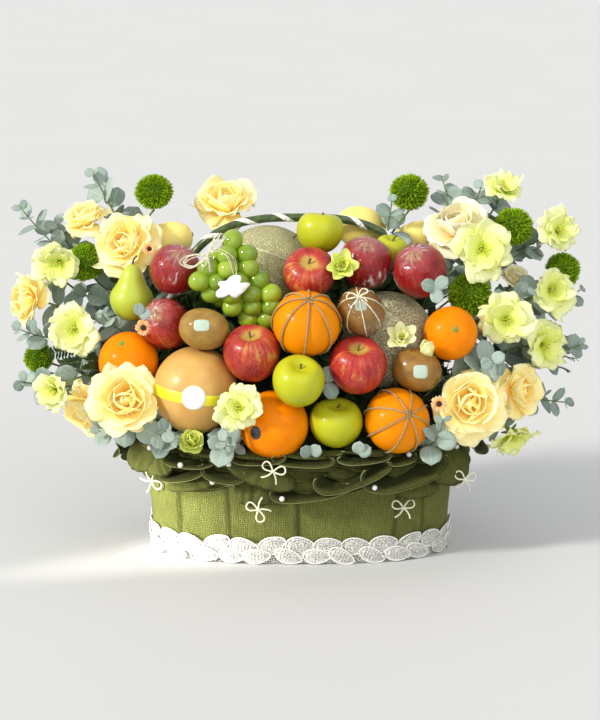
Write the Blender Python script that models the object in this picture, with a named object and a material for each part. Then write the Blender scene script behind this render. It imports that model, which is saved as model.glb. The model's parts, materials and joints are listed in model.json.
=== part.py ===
"""A fruit gift basket: an oval tub wrapped in olive cloth, with a ruffled cloth collar, a lace foot
band and a hoop handle, heaped with fruit and ringed with roses, lisianthus, pompon dianthus and
eucalyptus. Metres, +Z up, origin in the middle of the tub's underside, front towards -Y.
"""

import itertools
import math
from dataclasses import dataclass, field

import bmesh
import bpy
from mathutils import Matrix, Vector

# The tub and the cloth on it
SQUARENESS = 2.6
TUB_FOOT = (0.204, 0.124)
TUB_RIM = (0.218, 0.134)
TUB_HEIGHT = 0.150
TUB_WALL = 0.006
TUB_FLOOR = 0.008
TUB_SIDES = 28

LACE_SCALLOPS = 24
LACE_HEIGHT = 0.034
LACE_SCALLOP_RISE = 0.007
LACE_THICKNESS = 0.0025
LACE_OFF_WALL = 0.0008
LACE_OFF_GROUND = 0.0003
LACE_FLARE = 0.001

COLLAR_SIDES = 38
COLLAR_FOLDS = 8
COLLAR_OFF_WALL = 0.0012
# Each tier's folds are turned against the tier below, and a finer ripple rides on them
COLLAR_TIER_TURN = 1.7
COLLAR_RIPPLE_RATE = 2.3
COLLAR_RIPPLE_SIZE = 0.35
COLLAR_DIP = 0.006
# Section of the gathered collar: how far out from the wall, how high, and how much it waves
COLLAR_SECTION = (
    (0.006, 0.094, 0.20),
    (0.019, 0.090, 0.45),
    (0.023, 0.104, 0.40),
    (0.016, 0.112, 0.10),
    (0.033, 0.117, 0.35),
    (0.033, 0.131, 0.30),
    (0.022, 0.140, 0.10),
    (0.031, 0.150, 0.25),
    (0.020, 0.163, 0.15),
)
COLLAR_WAIST = 4
COLLAR_TOP = 0.161

# The hoop handle stands in the tub, across its length
HANDLE_HALF_SPAN = 0.199
HANDLE_TOP = 0.4585
HANDLE_FOOT = 0.118
HANDLE_SQUARENESS = 3.0
HANDLE_RADIUS = 0.007
HANDLE_Y = 0.020
HANDLE_STEPS = 20
HANDLE_SIDES = 6
HANDLE_POST_STEP = 0.012
HANDLE_CLEARANCE = 0.0016

# Packing in the tub, heaped to carry the fruit: height, half length, front and back depth
BED_GAP = 0.0006
BED_SECTIONS = (
    (0.152, 0.200, -0.104, 0.117),
    (0.185, 0.205, -0.090, 0.117),
    (0.225, 0.202, -0.074, 0.112),
    (0.270, 0.190, -0.058, 0.102),
    (0.315, 0.172, -0.042, 0.090),
    (0.355, 0.145, -0.026, 0.074),
    (0.390, 0.100, -0.008, 0.052),
)
# How deep the packing's tufts are, as a share of its size, and how far such a tuft hangs
BED_TUFT = 0.08
BED_TUFT_DROP = 0.0096
# A stem's root lies this far within the packing's outline, and this far from its top and bottom
BED_ROOT_SHARE = 0.8
BED_ROOT_MARGIN = (0.005, 0.010)

# Fitting
TOUCH_GAP = 0.0006
SOCKET_GAP = 0.0012
COARSE_CLEARANCE = 1.10
DEPTH_BIAS = 1.8
PUSH_SHARE = 0.55
SPREAD_ROUNDS = 400
RIM_CLEARANCE = 0.0012

STEM_RADIUS = 0.0014
STEM_CLEARANCE = 0.0035
STEM_SIDES = 3
STEM_STEPS = 3
# How far a stem may bend back, up and along the length to get past what is in its way
STEM_BENDS = ((0.0, 0.03, 0.06, 0.10, 0.14), (0.0, -0.04, 0.04, -0.08), (0.0, -0.04, 0.04, -0.08, 0.08))
ROOT_SHIFTS = ((0, 0, 0), (0, 0.04, 0), (0, -0.05, 0), (0, 0, -0.06), (0, 0.03, -0.06))
PROBE_STEPS = 14
LOOSE_ROOT_COST = 4
# Where a flower's stem is rooted: share of its place along the length, limits, and how far below it
ROOT_SHARE = 0.7
ROOT_REACH = 0.14
ROOT_DROP = 0.12
ROOT_HEIGHTS = (0.20, 0.31)
ROOT_BACK = 0.06
ROOT_MIDDLE = 0.02
ROOT_FRONT = -0.04

SPRIG_STEPS = 40
LEAF_THICKNESS = 0.0012
LEAF_PITCH = 0.012
LEAF_LEAN = 0.25
TIP_LEAF_LEAN = 0.9
TIP_LEAF_SHARE = 0.85
# A blade's outline: how far out, and its half width there, as shares of its length
LEAF_OUTLINE = ((0.50, 0.37), (0.95, 0.17))

OLIVE_CLOTH = (0.118, 0.140, 0.030)
WHITE_LACE = (0.80, 0.79, 0.74)
RIBBON_GREEN = (0.055, 0.085, 0.022)
FOLIAGE = (0.130, 0.200, 0.140)


@dataclass
class Item:
    """One fruit or flower head: its kind, centre, radius, half height, and where its stalk or face points."""

    name: str
    kind: str
    centre: tuple
    radius: float
    half_height: float
    axis: tuple
    place: Vector = field(init=False)
    rotation: Matrix = field(init=False)

    def __post_init__(self):
        self.place = Vector(self.centre)
        self.rotation = Vector((0, 0, 1)).rotation_difference(Vector(self.axis)).to_matrix()

    def holds(self, point, margin):
        """Whether a point lies inside the body or within margin of it."""
        between = point - self.place
        across, up = (COARSE_CLEARANCE * half + margin for half in (self.radius, self.half_height))
        if between.length > max(across, up):
            return False
        local = self.rotation.transposed() @ between
        return (local.x / across) ** 2 + (local.y / across) ** 2 + (local.z / up) ** 2 < 1

    def reach(self, direction):
        """How far the body reaches from its centre along a unit direction."""
        local = self.rotation.transposed() @ direction
        return math.sqrt(
            (local.x * self.radius) ** 2
            + (local.y * self.radius) ** 2
            + (local.z * self.half_height) ** 2
        )


FRUIT = (
    Item("melon_netted_back", "melon", (-0.046, 0.014, 0.3755), 0.075, 0.075, (0.5, -0.2, 0.85)),
    Item("melon_netted_right", "melon", (0.118, -0.028, 0.293), 0.069, 0.069, (-0.4, -0.3, 0.86)),
    Item("melon_smooth_left", "melon", (-0.144, -0.112, 0.241), 0.058, 0.060, (0.1, -0.15, 1)),
    Item("apple_wrapped_left", "apple", (-0.171, -0.058, 0.398), 0.034, 0.035, (0.25, -0.5, 0.8)),
    Item("apple_mid_left", "apple", (-0.184, -0.076, 0.325), 0.033, 0.036, (-0.45, -0.55, 0.65)),
    Item("pear_left", "pear", (-0.232, -0.032, 0.362), 0.032, 0.040, (0.05, -0.1, 1)),
    Item("orange_left", "orange", (-0.235, -0.070, 0.273), 0.041, 0.040, (-0.2, -0.6, 0.75)),
    Item("kiwi_left", "kiwi", (-0.123, -0.117, 0.332), 0.028, 0.034, (1, -0.1, -0.15)),
    Item("apple_low_left", "apple", (-0.065, -0.135, 0.298), 0.038, 0.041, (-0.05, -0.45, 0.9)),
    Item("orange_tied_centre", "tied_orange", (0.008, -0.130, 0.337), 0.046, 0.043, (0.05, -0.5, 0.85)),
    Item("apple_centre", "apple", (0.011, -0.076, 0.392), 0.036, 0.034, (-0.05, -0.7, 0.7)),
    Item("apple_green_top", "apple", (0.027, -0.035, 0.4435), 0.0325, 0.031, (0.1, 0.1, 1)),
    Item("apple_top_right", "apple", (0.090, -0.058, 0.407), 0.035, 0.036, (0.1, -0.35, 0.93)),
    Item("apple_wrapped_right", "apple", (0.164, -0.068, 0.398), 0.0365, 0.037, (-0.3, -0.45, 0.85)),
    Item("kiwi_tied", "kiwi", (0.081, -0.117, 0.349), 0.030, 0.033, (0.55, -0.35, -0.6)),
    Item("apple_low_right", "apple", (0.078, -0.136, 0.280), 0.039, 0.041, (0.0, -0.5, 0.87)),
    Item("kiwi_right", "kiwi", (0.157, -0.118, 0.268), 0.029, 0.034, (0.9, -0.2, -0.3)),
    Item("orange_right", "orange", (0.207, -0.088, 0.317), 0.037, 0.036, (0.12, -0.85, 0.3)),
    Item("orange_tied_right", "tied_orange", (0.132, -0.132, 0.2045), 0.0445, 0.042, (0.35, -0.75, 0.4)),
    Item("apple_green_low", "apple", (0.049, -0.132, 0.200), 0.036, 0.035, (0.1, -0.3, 0.95)),
    Item("apple_green_mid", "apple", (-0.003, -0.162, 0.266), 0.035, 0.036, (0.12, -0.5, 0.85)),
    Item("orange_low", "orange", (-0.034, -0.136, 0.2005), 0.0465, 0.0455, (-0.3, -0.9, 0.1)),
    Item("mango_left", "mango", (-0.186, 0.058, 0.420), 0.026, 0.035, (1, 0.1, 0.25)),
    Item("mango_back", "mango", (0.086, 0.062, 0.438), 0.030, 0.036, (1, 0.15, -0.25)),
    Item("mango_right", "mango", (0.163, 0.062, 0.420), 0.026, 0.034, (0.9, 0.1, 0.35)),
    Item("apple_green_back", "apple", (0.126, -0.006, 0.418), 0.024, 0.023, (0.2, -0.2, 0.95)),
)

FLOWERS = (
    Item("rose_top_back", "rose", (-0.108, 0.085, 0.472), 0.044, 0.024, (-0.1, -0.5, 0.85)),
    Item("rose_back_left", "rose", (-0.305, 0.074, 0.452), 0.032, 0.020, (-0.35, -0.35, 0.85)),
    Item("rose_upper_left", "rose", (-0.247, 0.026, 0.420), 0.042, 0.024, (-0.3, -0.8, 0.5)),
    Item("rose_far_left", "rose", (-0.385, 0.030, 0.343), 0.036, 0.023, (-0.8, -0.5, 0.15)),
    Item("rose_front_left", "rose", (-0.236, -0.142, 0.233), 0.045, 0.026, (-0.05, -0.93, 0.3)),
    Item("rose_low_left", "rose", (-0.300, -0.050, 0.200), 0.040, 0.024, (-0.6, -0.55, -0.5)),
    Item("rose_front_right", "rose", (0.228, -0.128, 0.226), 0.045, 0.026, (0.0, -0.95, 0.2)),
    Item("rose_low_right", "rose", (0.307, -0.050, 0.226), 0.037, 0.023, (0.6, -0.75, 0.0)),
    Item("rose_cream_right", "rose", (0.216, 0.010, 0.449), 0.046, 0.025, (-0.1, -0.55, 0.8)),
    Item("rose_bud_right", "rose", (0.302, 0.030, 0.373), 0.025, 0.022, (0.35, -0.5, 0.75)),
    Item("lisianthus_far_left", "lisianthus", (-0.340, 0.012, 0.393), 0.033, 0.016, (-0.1, -0.95, -0.2)),
    Item("lisianthus_left", "lisianthus", (-0.314, -0.056, 0.312), 0.038, 0.018, (-0.1, -0.98, 0.15)),
    Item("lisianthus_low_left", "lisianthus", (-0.335, -0.082, 0.232), 0.030, 0.016, (-0.5, -0.85, -0.1)),
    Item("lisianthus_front", "lisianthus", (-0.084, -0.184, 0.233), 0.030, 0.014, (0.05, -0.95, 0.25)),
    Item("lisianthus_upper_right", "lisianthus", (0.246, -0.064, 0.425), 0.040, 0.019, (0.05, -0.95, 0.05)),
    Item("lisianthus_top_right", "lisianthus", (0.283, 0.055, 0.493), 0.029, 0.015, (0.15, -0.5, 0.85)),
    Item("lisianthus_far_right_top", "lisianthus", (0.362, 0.020, 0.442), 0.031, 0.015, (0.4, -0.85, 0.3)),
    Item("lisianthus_far_right", "lisianthus", (0.350, -0.020, 0.366), 0.035, 0.017, (0.3, -0.9, 0.15)),
    Item("lisianthus_right", "lisianthus", (0.276, -0.092, 0.332), 0.037, 0.018, (0.0, -1, 0.05)),
    Item("lisianthus_far_right_low", "lisianthus", (0.342, -0.030, 0.287), 0.037, 0.018, (0.45, -0.85, 0.0)),
    Item("lisianthus_low_right", "lisianthus", (0.297, -0.070, 0.166), 0.033, 0.016, (0.3, -0.65, -0.6)),
    Item("dianthus_top_left", "pompon", (-0.205, 0.060, 0.489), 0.030, 0.028, (0, 0, 1)),
    Item("dianthus_left", "pompon", (-0.300, 0.054, 0.391), 0.031, 0.029, (-0.3, -0.4, 0.8)),
    Item("dianthus_far_left", "pompon", (-0.366, 0.006, 0.262), 0.024, 0.023, (-0.7, -0.3, 0.4)),
    Item("dianthus_top_right", "pompon", (0.154, 0.078, 0.486), 0.031, 0.029, (0, 0, 1)),
    Item("dianthus_upper_right", "pompon", (0.298, 0.030, 0.445), 0.031, 0.029, (0.2, -0.3, 0.9)),
    Item("dianthus_far_right", "pompon", (0.372, 0.060, 0.378), 0.028, 0.027, (0.5, -0.2, 0.7)),
    Item("dianthus_right", "pompon", (0.233, -0.046, 0.360), 0.034, 0.032, (0.1, -0.8, 0.5)),
)

# The bunch of grapes: how many in each row from the top, and how far the row is shifted right
GRAPE_RADIUS = 0.0138
GRAPE_ROWS = ((1, -0.002), (2, 0.004), (3, -0.008), (4, -0.007), (4, 0.010), (3, 0.024), (2, 0.032))
GRAPE_ROW_STEP = 0.0178
GRAPE_PITCH = 0.0262
GRAPE_BULGE = 0.016
GRAPE_BULGE_REACH = 0.058
GRAPE_STAGGER = (-0.002, 0.004)
GRAPE_ROUNDS = 12
GRAPE_CORE_SIZE = (0.036, 0.014, 0.042)
GRAPE_BUNCH = Item("grapes_green", "grapes", (-0.090, -0.088, 0.387), 0.055, 0.034, (0, 1, 0))

# Eucalyptus sprigs: root in the packing, a point on the way, tip, number of leaves, leaf length
SPRIGS = (
    ((-0.14, 0.05, 0.28), (-0.245, 0.120, 0.40), (-0.292, 0.088, 0.512), 4, 0.036),
    ((-0.14, 0.06, 0.27), (-0.330, 0.125, 0.36), (-0.394, 0.068, 0.466), 4, 0.032),
    ((-0.14, 0.05, 0.26), (-0.300, 0.125, 0.33), (-0.345, 0.085, 0.440), 2, 0.038),
    ((-0.14, 0.02, 0.26), (-0.330, 0.035, 0.27), (-0.392, -0.010, 0.306), 3, 0.034),
    ((-0.14, 0.00, 0.23), (-0.320, 0.010, 0.21), (-0.388, -0.030, 0.236), 3, 0.034),
    ((-0.14, 0.00, 0.25), (-0.260, -0.010, 0.30), (-0.272, -0.056, 0.336), 2, 0.034),
    ((-0.14, -0.02, 0.20), (-0.262, -0.060, 0.178), (-0.274, -0.112, 0.184), 3, 0.034),
    ((-0.13, -0.05, 0.172), (-0.172, -0.150, 0.176), (-0.180, -0.172, 0.198), 2, 0.034),
    ((-0.09, -0.05, 0.172), (-0.100, -0.172, 0.168), (-0.104, -0.188, 0.188), 2, 0.032),
    ((0.11, 0.04, 0.34), (0.122, 0.036, 0.43), (0.128, 0.030, 0.480), 2, 0.034),
    ((0.14, 0.05, 0.30), (0.192, 0.075, 0.44), (0.200, 0.070, 0.505), 3, 0.034),
    ((0.14, 0.06, 0.28), (0.230, 0.090, 0.42), (0.254, 0.055, 0.496), 2, 0.036),
    ((0.14, 0.03, 0.27), (0.320, 0.060, 0.40), (0.335, 0.046, 0.410), 3, 0.032),
    ((0.14, 0.01, 0.27), (0.250, -0.020, 0.31), (0.312, -0.052, 0.368), 2, 0.034),
    ((0.14, -0.01, 0.24), (0.250, -0.060, 0.27), (0.260, -0.118, 0.283), 3, 0.038),
    ((0.13, -0.05, 0.172), (0.182, -0.140, 0.178), (0.192, -0.166, 0.212), 2, 0.028),
    ((0.14, 0.01, 0.26), (0.330, 0.030, 0.25), (0.396, 0.004, 0.282), 3, 0.034),
    ((0.14, 0.00, 0.24), (0.320, 0.010, 0.20), (0.372, -0.020, 0.204), 3, 0.034),
    ((0.14, 0.03, 0.26), (0.340, 0.060, 0.30), (0.398, 0.054, 0.352), 3, 0.030),
)

# Small blooms fixed in the greenery: centre, radius, thickness, facing, root of the stem
SMALL_BLOOMS = (
    ((-0.213, -0.105, 0.326), 0.0115, 0.006, (-0.15, -0.95, 0.2), (-0.268, -0.046, 0.331)),
    ((0.186, -0.160, 0.232), 0.0115, 0.006, (-0.2, -0.95, 0.1), (0.140, -0.010, 0.192)),
)

# Bows of thin cord: place along the length, height, how far they are turned
TUB_BOWS = ((-0.056, 0.083, 2.3), (0.140, 0.077, 0.0))
# On the collar the last value is the point of its section that they lie on
COLLAR_BOWS = ((-0.036, 0.141, 0.1, 5), (-0.222, 0.104, 0.5, 2), (0.232, 0.112, -0.4, 2))
BOW_LOOP = 0.017
BOW_LOOP_WIDTH = 0.0055
BOW_LOOP_ANGLE = 0.45
BOW_LOOP_STEPS = 6
BOW_TAIL = 0.018
BOW_TAIL_ANGLES = (math.pi + 0.75, -1.05)
BOW_CORD_RADIUS = 0.0012
BOW_KNOT_RADIUS = 0.0028
BOW_LIFT = 0.0010
BOW_ARCH = 0.0012

# Pearls pinned on the collar: place along the length, and the point of its section that they sit on
PEARL_RADIUS = 0.0038
PEARLS = (
    (-0.185, 7),
    (-0.150, 2),
    (-0.120, 5),
    (-0.098, 7),
    (-0.024, 2),
    (0.040, 7),
    (0.100, 4),
    (0.150, 7),
    (0.215, 7),
)


def superellipse(half_x, half_y, count, centre_y=0.0, height=0.0):
    """A ring of points on a superellipse, counter-clockwise seen from above."""
    ring = []
    for i in range(count):
        x, y = rounded_square(2 * math.pi * i / count)
        ring.append(Vector((half_x * x, half_y * y + centre_y, height)))
    return ring


def rounded_square(angle):
    """The point of the unit superellipse at an angle."""
    c, s = math.cos(angle), math.sin(angle)
    power = 2 / SQUARENESS
    return math.copysign(abs(c) ** power, c), math.copysign(abs(s) ** power, s)


def tub_size(height):
    """The tub's outer half length and half depth at a height."""
    share = height / TUB_HEIGHT
    return tuple(foot + (rim - foot) * share for foot, rim in zip(TUB_FOOT, TUB_RIM))


def loft(rings):
    """A closed mesh through rings listed from bottom to top. A ring of one point is a pole."""
    bm = bmesh.new()
    rows = [[bm.verts.new(point) for point in ring] for ring in rings]
    for low, high in zip(rows, rows[1:]):
        count = max(len(low), len(high))
        for i in range(count):
            j = (i + 1) % count
            if len(low) == 1:
                bm.faces.new((low[0], high[j], high[i]))
            elif len(high) == 1:
                bm.faces.new((low[i], low[j], high[0]))
            else:
                bm.faces.new((low[i], low[j], high[j], high[i]))
    if len(rows[0]) > 1:
        bm.faces.new(list(reversed(rows[0])))
    if len(rows[-1]) > 1:
        bm.faces.new(rows[-1])
    return bm


def closed_ring(sections):
    """A closed mesh from one closed section repeated round a ring."""
    bm = bmesh.new()
    rows = [[bm.verts.new(point) for point in section] for section in sections]
    for here, after in zip(rows, rows[1:] + rows[:1]):
        for i in range(len(here)):
            j = (i + 1) % len(here)
            bm.faces.new((here[i], here[j], after[j], after[i]))
    bmesh.ops.recalc_face_normals(bm, faces=bm.faces)
    return bm


def material(name, colour, roughness):
    """A plain Principled material, made once for each name."""
    made = bpy.data.materials.get(name)
    if made is None:
        made = bpy.data.materials.new(name)
        made.use_nodes = True
        shader = made.node_tree.nodes["Principled BSDF"]
        shader.inputs["Base Color"].default_value = (*colour, 1)
        shader.inputs["Roughness"].default_value = roughness
        shader.inputs["Metallic"].default_value = 0.0
    return made


def new_object(name, bm, finish=None):
    """An object from a bmesh, shaded smooth where it has a finish of its own."""
    mesh = bpy.data.meshes.new(name)
    bm.to_mesh(mesh)
    bm.free()
    obj = bpy.data.objects.new(name, mesh)
    bpy.context.scene.collection.objects.link(obj)
    if finish is not None:
        mesh.materials.append(finish)
        mesh.shade_smooth()
        mesh.set_sharp_from_angle(angle=math.radians(50))
    return obj


def small_ball(name, centre, radius):
    """A little round body with few facets."""
    bm = bmesh.new()
    bmesh.ops.create_icosphere(bm, subdivisions=1, radius=radius, matrix=Matrix.Translation(centre))
    return new_object(name, bm)


def boolean(obj, operation, others):
    """Joins a list of objects to obj, or cuts them from it, and removes them."""
    bpy.context.view_layer.update()
    group = bpy.data.collections.new("operands")
    bpy.context.scene.collection.children.link(group)
    for other in others:
        for home in list(other.users_collection):
            home.objects.unlink(other)
        group.objects.link(other)
    step = obj.modifiers.new(operation.lower(), "BOOLEAN")
    step.operation = operation
    step.operand_type = "COLLECTION"
    step.collection = group
    bpy.context.view_layer.update()
    graph = bpy.context.evaluated_depsgraph_get()
    result = bpy.data.meshes.new_from_object(obj.evaluated_get(graph))
    obj.modifiers.clear()
    obj.data = result
    for other in others:
        bpy.data.objects.remove(other)
    bpy.data.collections.remove(group)


def keep_largest_piece(obj):
    """Drops the scraps that a cut leaves loose."""
    bm = bmesh.new()
    bm.from_mesh(obj.data)
    left = set(bm.verts)
    largest = set()
    while left:
        grown = {left.pop()}
        newest = grown
        while newest:
            newest = {edge.other_vert(v) for v in newest for edge in v.link_edges} - grown
            grown = grown | newest
        left -= grown
        if len(grown) > len(largest):
            largest = grown
    bmesh.ops.delete(bm, geom=[v for v in bm.verts if v not in largest], context="VERTS")
    bm.to_mesh(obj.data)
    bm.free()


def lathe(profile, sides, lobes=0):
    """A turned body with lobes. Each row of profile is a radius, a height, a lobe depth and a half turn."""
    rings = []
    for radius, height, wave, phase in profile:
        if radius == 0:
            rings.append([Vector((0, 0, height))])
            continue
        ring = []
        for i in range(sides):
            angle = 2 * math.pi * i / sides
            grown = radius * (1 + wave * math.cos(lobes * angle + math.pi * phase))
            ring.append(Vector((grown * math.cos(angle), grown * math.sin(angle), height)))
        rings.append(ring)
    return loft(rings)


def turned_fruit(item, shape, sides, rings, lobes=0, depth=0.0):
    """A fruit turned from shape(angle from the bottom), which gives its radius and height, each up to 1."""
    profile = []
    for k in range(rings + 1):
        across, up = shape(math.pi * k / rings)
        radius = 0 if k in (0, rings) else across * item.radius
        profile.append((radius, up * item.half_height, depth, 0))
    return lathe(profile, sides, lobes)


def apple_shape(angle):
    """An apple's section, with shoulders wider than its base and hollows at both ends."""
    top, bottom = math.pi - angle, angle
    across = math.sin(angle) * (1 - 0.09 * math.cos(angle)) / 1.004
    up = -math.cos(angle) - 0.34 * math.exp(-((top / 0.42) ** 2)) + 0.16 * math.exp(-((bottom / 0.38) ** 2))
    return across, up


def ball_shape(angle):
    """A round fruit's section with a slight dent at the stalk."""
    return math.sin(angle), -math.cos(angle) - 0.05 * math.exp(-(((math.pi - angle) / 0.3) ** 2))


def pear_shape(angle):
    """A pear's section: a full base and a neck."""
    up = -math.cos(angle)
    neck = 1 - 0.42 / (1 + math.exp(-7 * (up - 0.12)))
    return math.sin(angle) ** 0.85 * neck, up


def long_shape(angle):
    """A kiwi's or a mango's section, with blunt ends."""
    return math.sin(angle) ** 0.88, -math.cos(angle)


ROSE_SECTION = (
    (0.00, -0.95, 0, 0),
    (0.50, -0.70, 0.02, 0),
    (0.93, 0.00, 0.075, 0),
    (0.64, -0.10, 0.03, 1),
    (0.66, 0.48, 0.08, 1),
    (0.42, 0.24, 0.03, 0),
    (0.38, 0.82, 0.08, 0),
    (0.00, 0.70, 0, 0),
)
LISIANTHUS_SECTION = (
    (0.00, -0.95, 0, 0),
    (0.40, -0.50, 0.03, 0),
    (0.91, 0.20, 0.095, 0),
    (0.50, -0.05, 0.03, 1),
    (0.56, 0.90, 0.09, 1),
    (0.00, 0.10, 0, 0),
)
DAISY_SECTION = ((0, -1.0), (0.5, -0.8), (1.0, 0), (0.35, 0.2), (0, 0.1))
BLOOM_PETALS = 5
POMPON_SIDES = 8
POMPON_RINGS = 6
POMPON_TUFT = 0.06


def bloom(item, section):
    """A flower head with scalloped rows of petals, facing local +Z."""
    profile = [(r * item.radius, z * item.half_height, wave, phase) for r, z, wave, phase in section]
    return lathe(profile, 2 * BLOOM_PETALS, BLOOM_PETALS)


def pompon(item):
    """A pompon dianthus: a ball with tufts."""
    inner = 1 - POMPON_TUFT
    profile = []
    for k in range(POMPON_RINGS + 1):
        angle = math.pi * k / POMPON_RINGS
        radius = 0 if k in (0, POMPON_RINGS) else math.sin(angle) * item.radius * inner
        profile.append((radius, -math.cos(angle) * item.half_height, POMPON_TUFT, k % 2))
    return lathe(profile, POMPON_SIDES, POMPON_SIDES // 2)


KINDS = {
    "melon": (lambda item: turned_fruit(item, ball_shape, 14, 8), (0.42, 0.38, 0.18), 0.7),
    "apple": (lambda item: turned_fruit(item, apple_shape, 10, 6), (0.42, 0.03, 0.02), 0.25),
    "orange": (lambda item: turned_fruit(item, ball_shape, 12, 7), (0.90, 0.26, 0.01), 0.4),
    "tied_orange": (lambda item: turned_fruit(item, ball_shape, 16, 6, 8, 0.02), (0.90, 0.36, 0.02), 0.4),
    "kiwi": (lambda item: turned_fruit(item, long_shape, 8, 6), (0.20, 0.12, 0.04), 0.7),
    "mango": (lambda item: turned_fruit(item, long_shape, 8, 6), (0.85, 0.55, 0.12), 0.45),
    "pear": (lambda item: turned_fruit(item, pear_shape, 10, 8), (0.50, 0.55, 0.03), 0.35),
    "rose": (lambda item: bloom(item, ROSE_SECTION), (0.92, 0.72, 0.42), 0.6),
    "lisianthus": (lambda item: bloom(item, LISIANTHUS_SECTION), (0.82, 0.86, 0.50), 0.6),
    "pompon": (pompon, (0.10, 0.28, 0.02), 0.8),
}


def handle_line(foot=HANDLE_FOOT):
    """Points along the middle of the hoop handle, from its left foot to its right one."""
    rise = HANDLE_TOP - TUB_HEIGHT
    line = [Vector((-HANDLE_HALF_SPAN, HANDLE_Y, foot))]
    for i in range(HANDLE_STEPS + 1):
        angle = math.pi * (1 - i / HANDLE_STEPS)
        c, s = math.cos(angle), max(0.0, math.sin(angle))
        x = HANDLE_HALF_SPAN * math.copysign(abs(c) ** (2 / HANDLE_SQUARENESS), c)
        line.append(Vector((x, HANDLE_Y, TUB_HEIGHT + rise * s ** (2 / HANDLE_SQUARENESS))))
    line.append(Vector((HANDLE_HALF_SPAN, HANDLE_Y, foot)))
    return line


def handle_posts():
    """Points close together along the handle above the tub, for finding what stands in its way."""
    line = handle_line()
    posts = []
    for start, end in zip(line, line[1:]):
        count = max(1, round((end - start).length / HANDLE_POST_STEP))
        posts += [start.lerp(end, k / count) for k in range(count)]
    return tuple(post for post in posts if post.z > TUB_HEIGHT)


HANDLE_POSTS = handle_posts()


def tube_rings(line, radius, sides, marks=None):
    """Rings of points round a line, at each of its points or at those that marks lists."""
    rings = []
    side = None
    last = len(line) - 1
    for i in marks or range(last + 1):
        along = (line[min(i + 1, last)] - line[max(i - 1, 0)]).normalized()
        side = along.orthogonal() if side is None else side
        side = (side - along * side.dot(along)).normalized()
        other = along.cross(side)
        turns = [2 * math.pi * k / sides for k in range(sides)]
        rings.append([line[i] + (side * math.cos(a) + other * math.sin(a)) * radius for a in turns])
    return rings


def tube(line, radius, sides):
    """A tube of even radius along a line of points, with flat ends."""
    return loft(tube_rings(line, radius, sides))


def bezier(start, middle, end, steps):
    """Points of a smooth curve from start to end that is drawn towards middle."""
    points = []
    for i in range(steps + 1):
        t = i / steps
        points.append(start * (1 - t) ** 2 + middle * 2 * t * (1 - t) + end * t * t)
    return points


def spread_apart(items):
    """Nudges neighbours apart until TOUCH_GAP is left between them, mostly in depth."""
    for _ in range(SPREAD_ROUNDS):
        settled = True
        for a, b in itertools.combinations(items, 2):
            between = b.place - a.place
            line = between.normalized()
            short = a.reach(line) + b.reach(line) + TOUCH_GAP - between.length
            if short > 0:
                settled = False
                push = Vector((line.x, line.y * DEPTH_BIAS, line.z)).normalized() * short * PUSH_SHARE
                weight = b.radius**2 / (a.radius**2 + b.radius**2)
                a.place -= push * weight
                b.place += push * (1 - weight)
        for item in items:
            for post in HANDLE_POSTS:
                between = item.place - post
                line = between.normalized()
                short = item.reach(line) + HANDLE_RADIUS + HANDLE_CLEARANCE - between.length
                if short > 0:
                    settled = False
                    item.place += line * short
            lowest = item.place.z - item.reach(Vector((0, 0, 1)))
            over_tub = abs(item.place.x) < TUB_RIM[0] + item.radius
            if over_tub and lowest < TUB_HEIGHT + RIM_CLEARANCE:
                settled = False
                item.place.z += TUB_HEIGHT + RIM_CLEARANCE - lowest
        if settled:
            return


def grape_centres(middle, neighbours):
    """Centres of the grapes: rows that bulge forward in the middle, each grape clear of its neighbours."""
    half = (len(GRAPE_ROWS) - 1) / 2
    for row, (count, shift) in enumerate(GRAPE_ROWS):
        for i in range(count):
            across = (i - (count - 1) / 2) * GRAPE_PITCH + shift
            drop = (row - half) * GRAPE_ROW_STEP
            spread = math.hypot(across - shift, drop) / GRAPE_BULGE_REACH
            forward = GRAPE_BULGE * (1 - spread**2) + GRAPE_STAGGER[(row + i) % 2]
            centre = middle + Vector((across, -forward, -drop))
            for _, item in itertools.product(range(GRAPE_ROUNDS), neighbours):
                between = centre - item.place
                line = between.normalized()
                short = item.reach(line) + GRAPE_RADIUS + TOUCH_GAP - between.length
                if short > 0:
                    centre += line * short
            yield centre


def grapes(middle, neighbours):
    """The bunch of grapes as one body, a core with its grapes fused on."""
    core = bmesh.new()
    bmesh.ops.create_uvsphere(core, u_segments=6, v_segments=5, radius=1)
    size = Matrix.Diagonal((*GRAPE_CORE_SIZE, 1))
    bmesh.ops.transform(core, matrix=Matrix.Translation(middle) @ size, verts=core.verts)
    bunch = new_object("grapes_green", core, material("grape", (0.36, 0.50, 0.08), 0.25))
    balls = []
    for k, centre in enumerate(grape_centres(middle, neighbours)):
        ball = bmesh.new()
        place = Matrix.Translation(centre) @ Matrix.Rotation(0.9 + 0.37 * k, 4, (1, 0.3 * k, 0.2))
        bmesh.ops.create_uvsphere(ball, u_segments=6, v_segments=4, radius=GRAPE_RADIUS, matrix=place)
        balls.append(new_object("grape", ball))
    boolean(bunch, "UNION", balls)
    keep_largest_piece(bunch)
    bunch.data.shade_smooth()
    return bunch


def coarse_cutter(item):
    """A closed shell with few facets that clears a fruit all round."""
    size = (item.radius, item.radius, item.half_height)
    loose = Matrix.Diagonal((*(COARSE_CLEARANCE * half + SOCKET_GAP for half in size), 1))
    place = Matrix.Translation(item.place) @ item.rotation.to_4x4() @ loose
    bm = bmesh.new()
    bmesh.ops.create_uvsphere(bm, u_segments=8, v_segments=6, radius=1, matrix=place)
    return new_object("cutter", bm)


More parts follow.
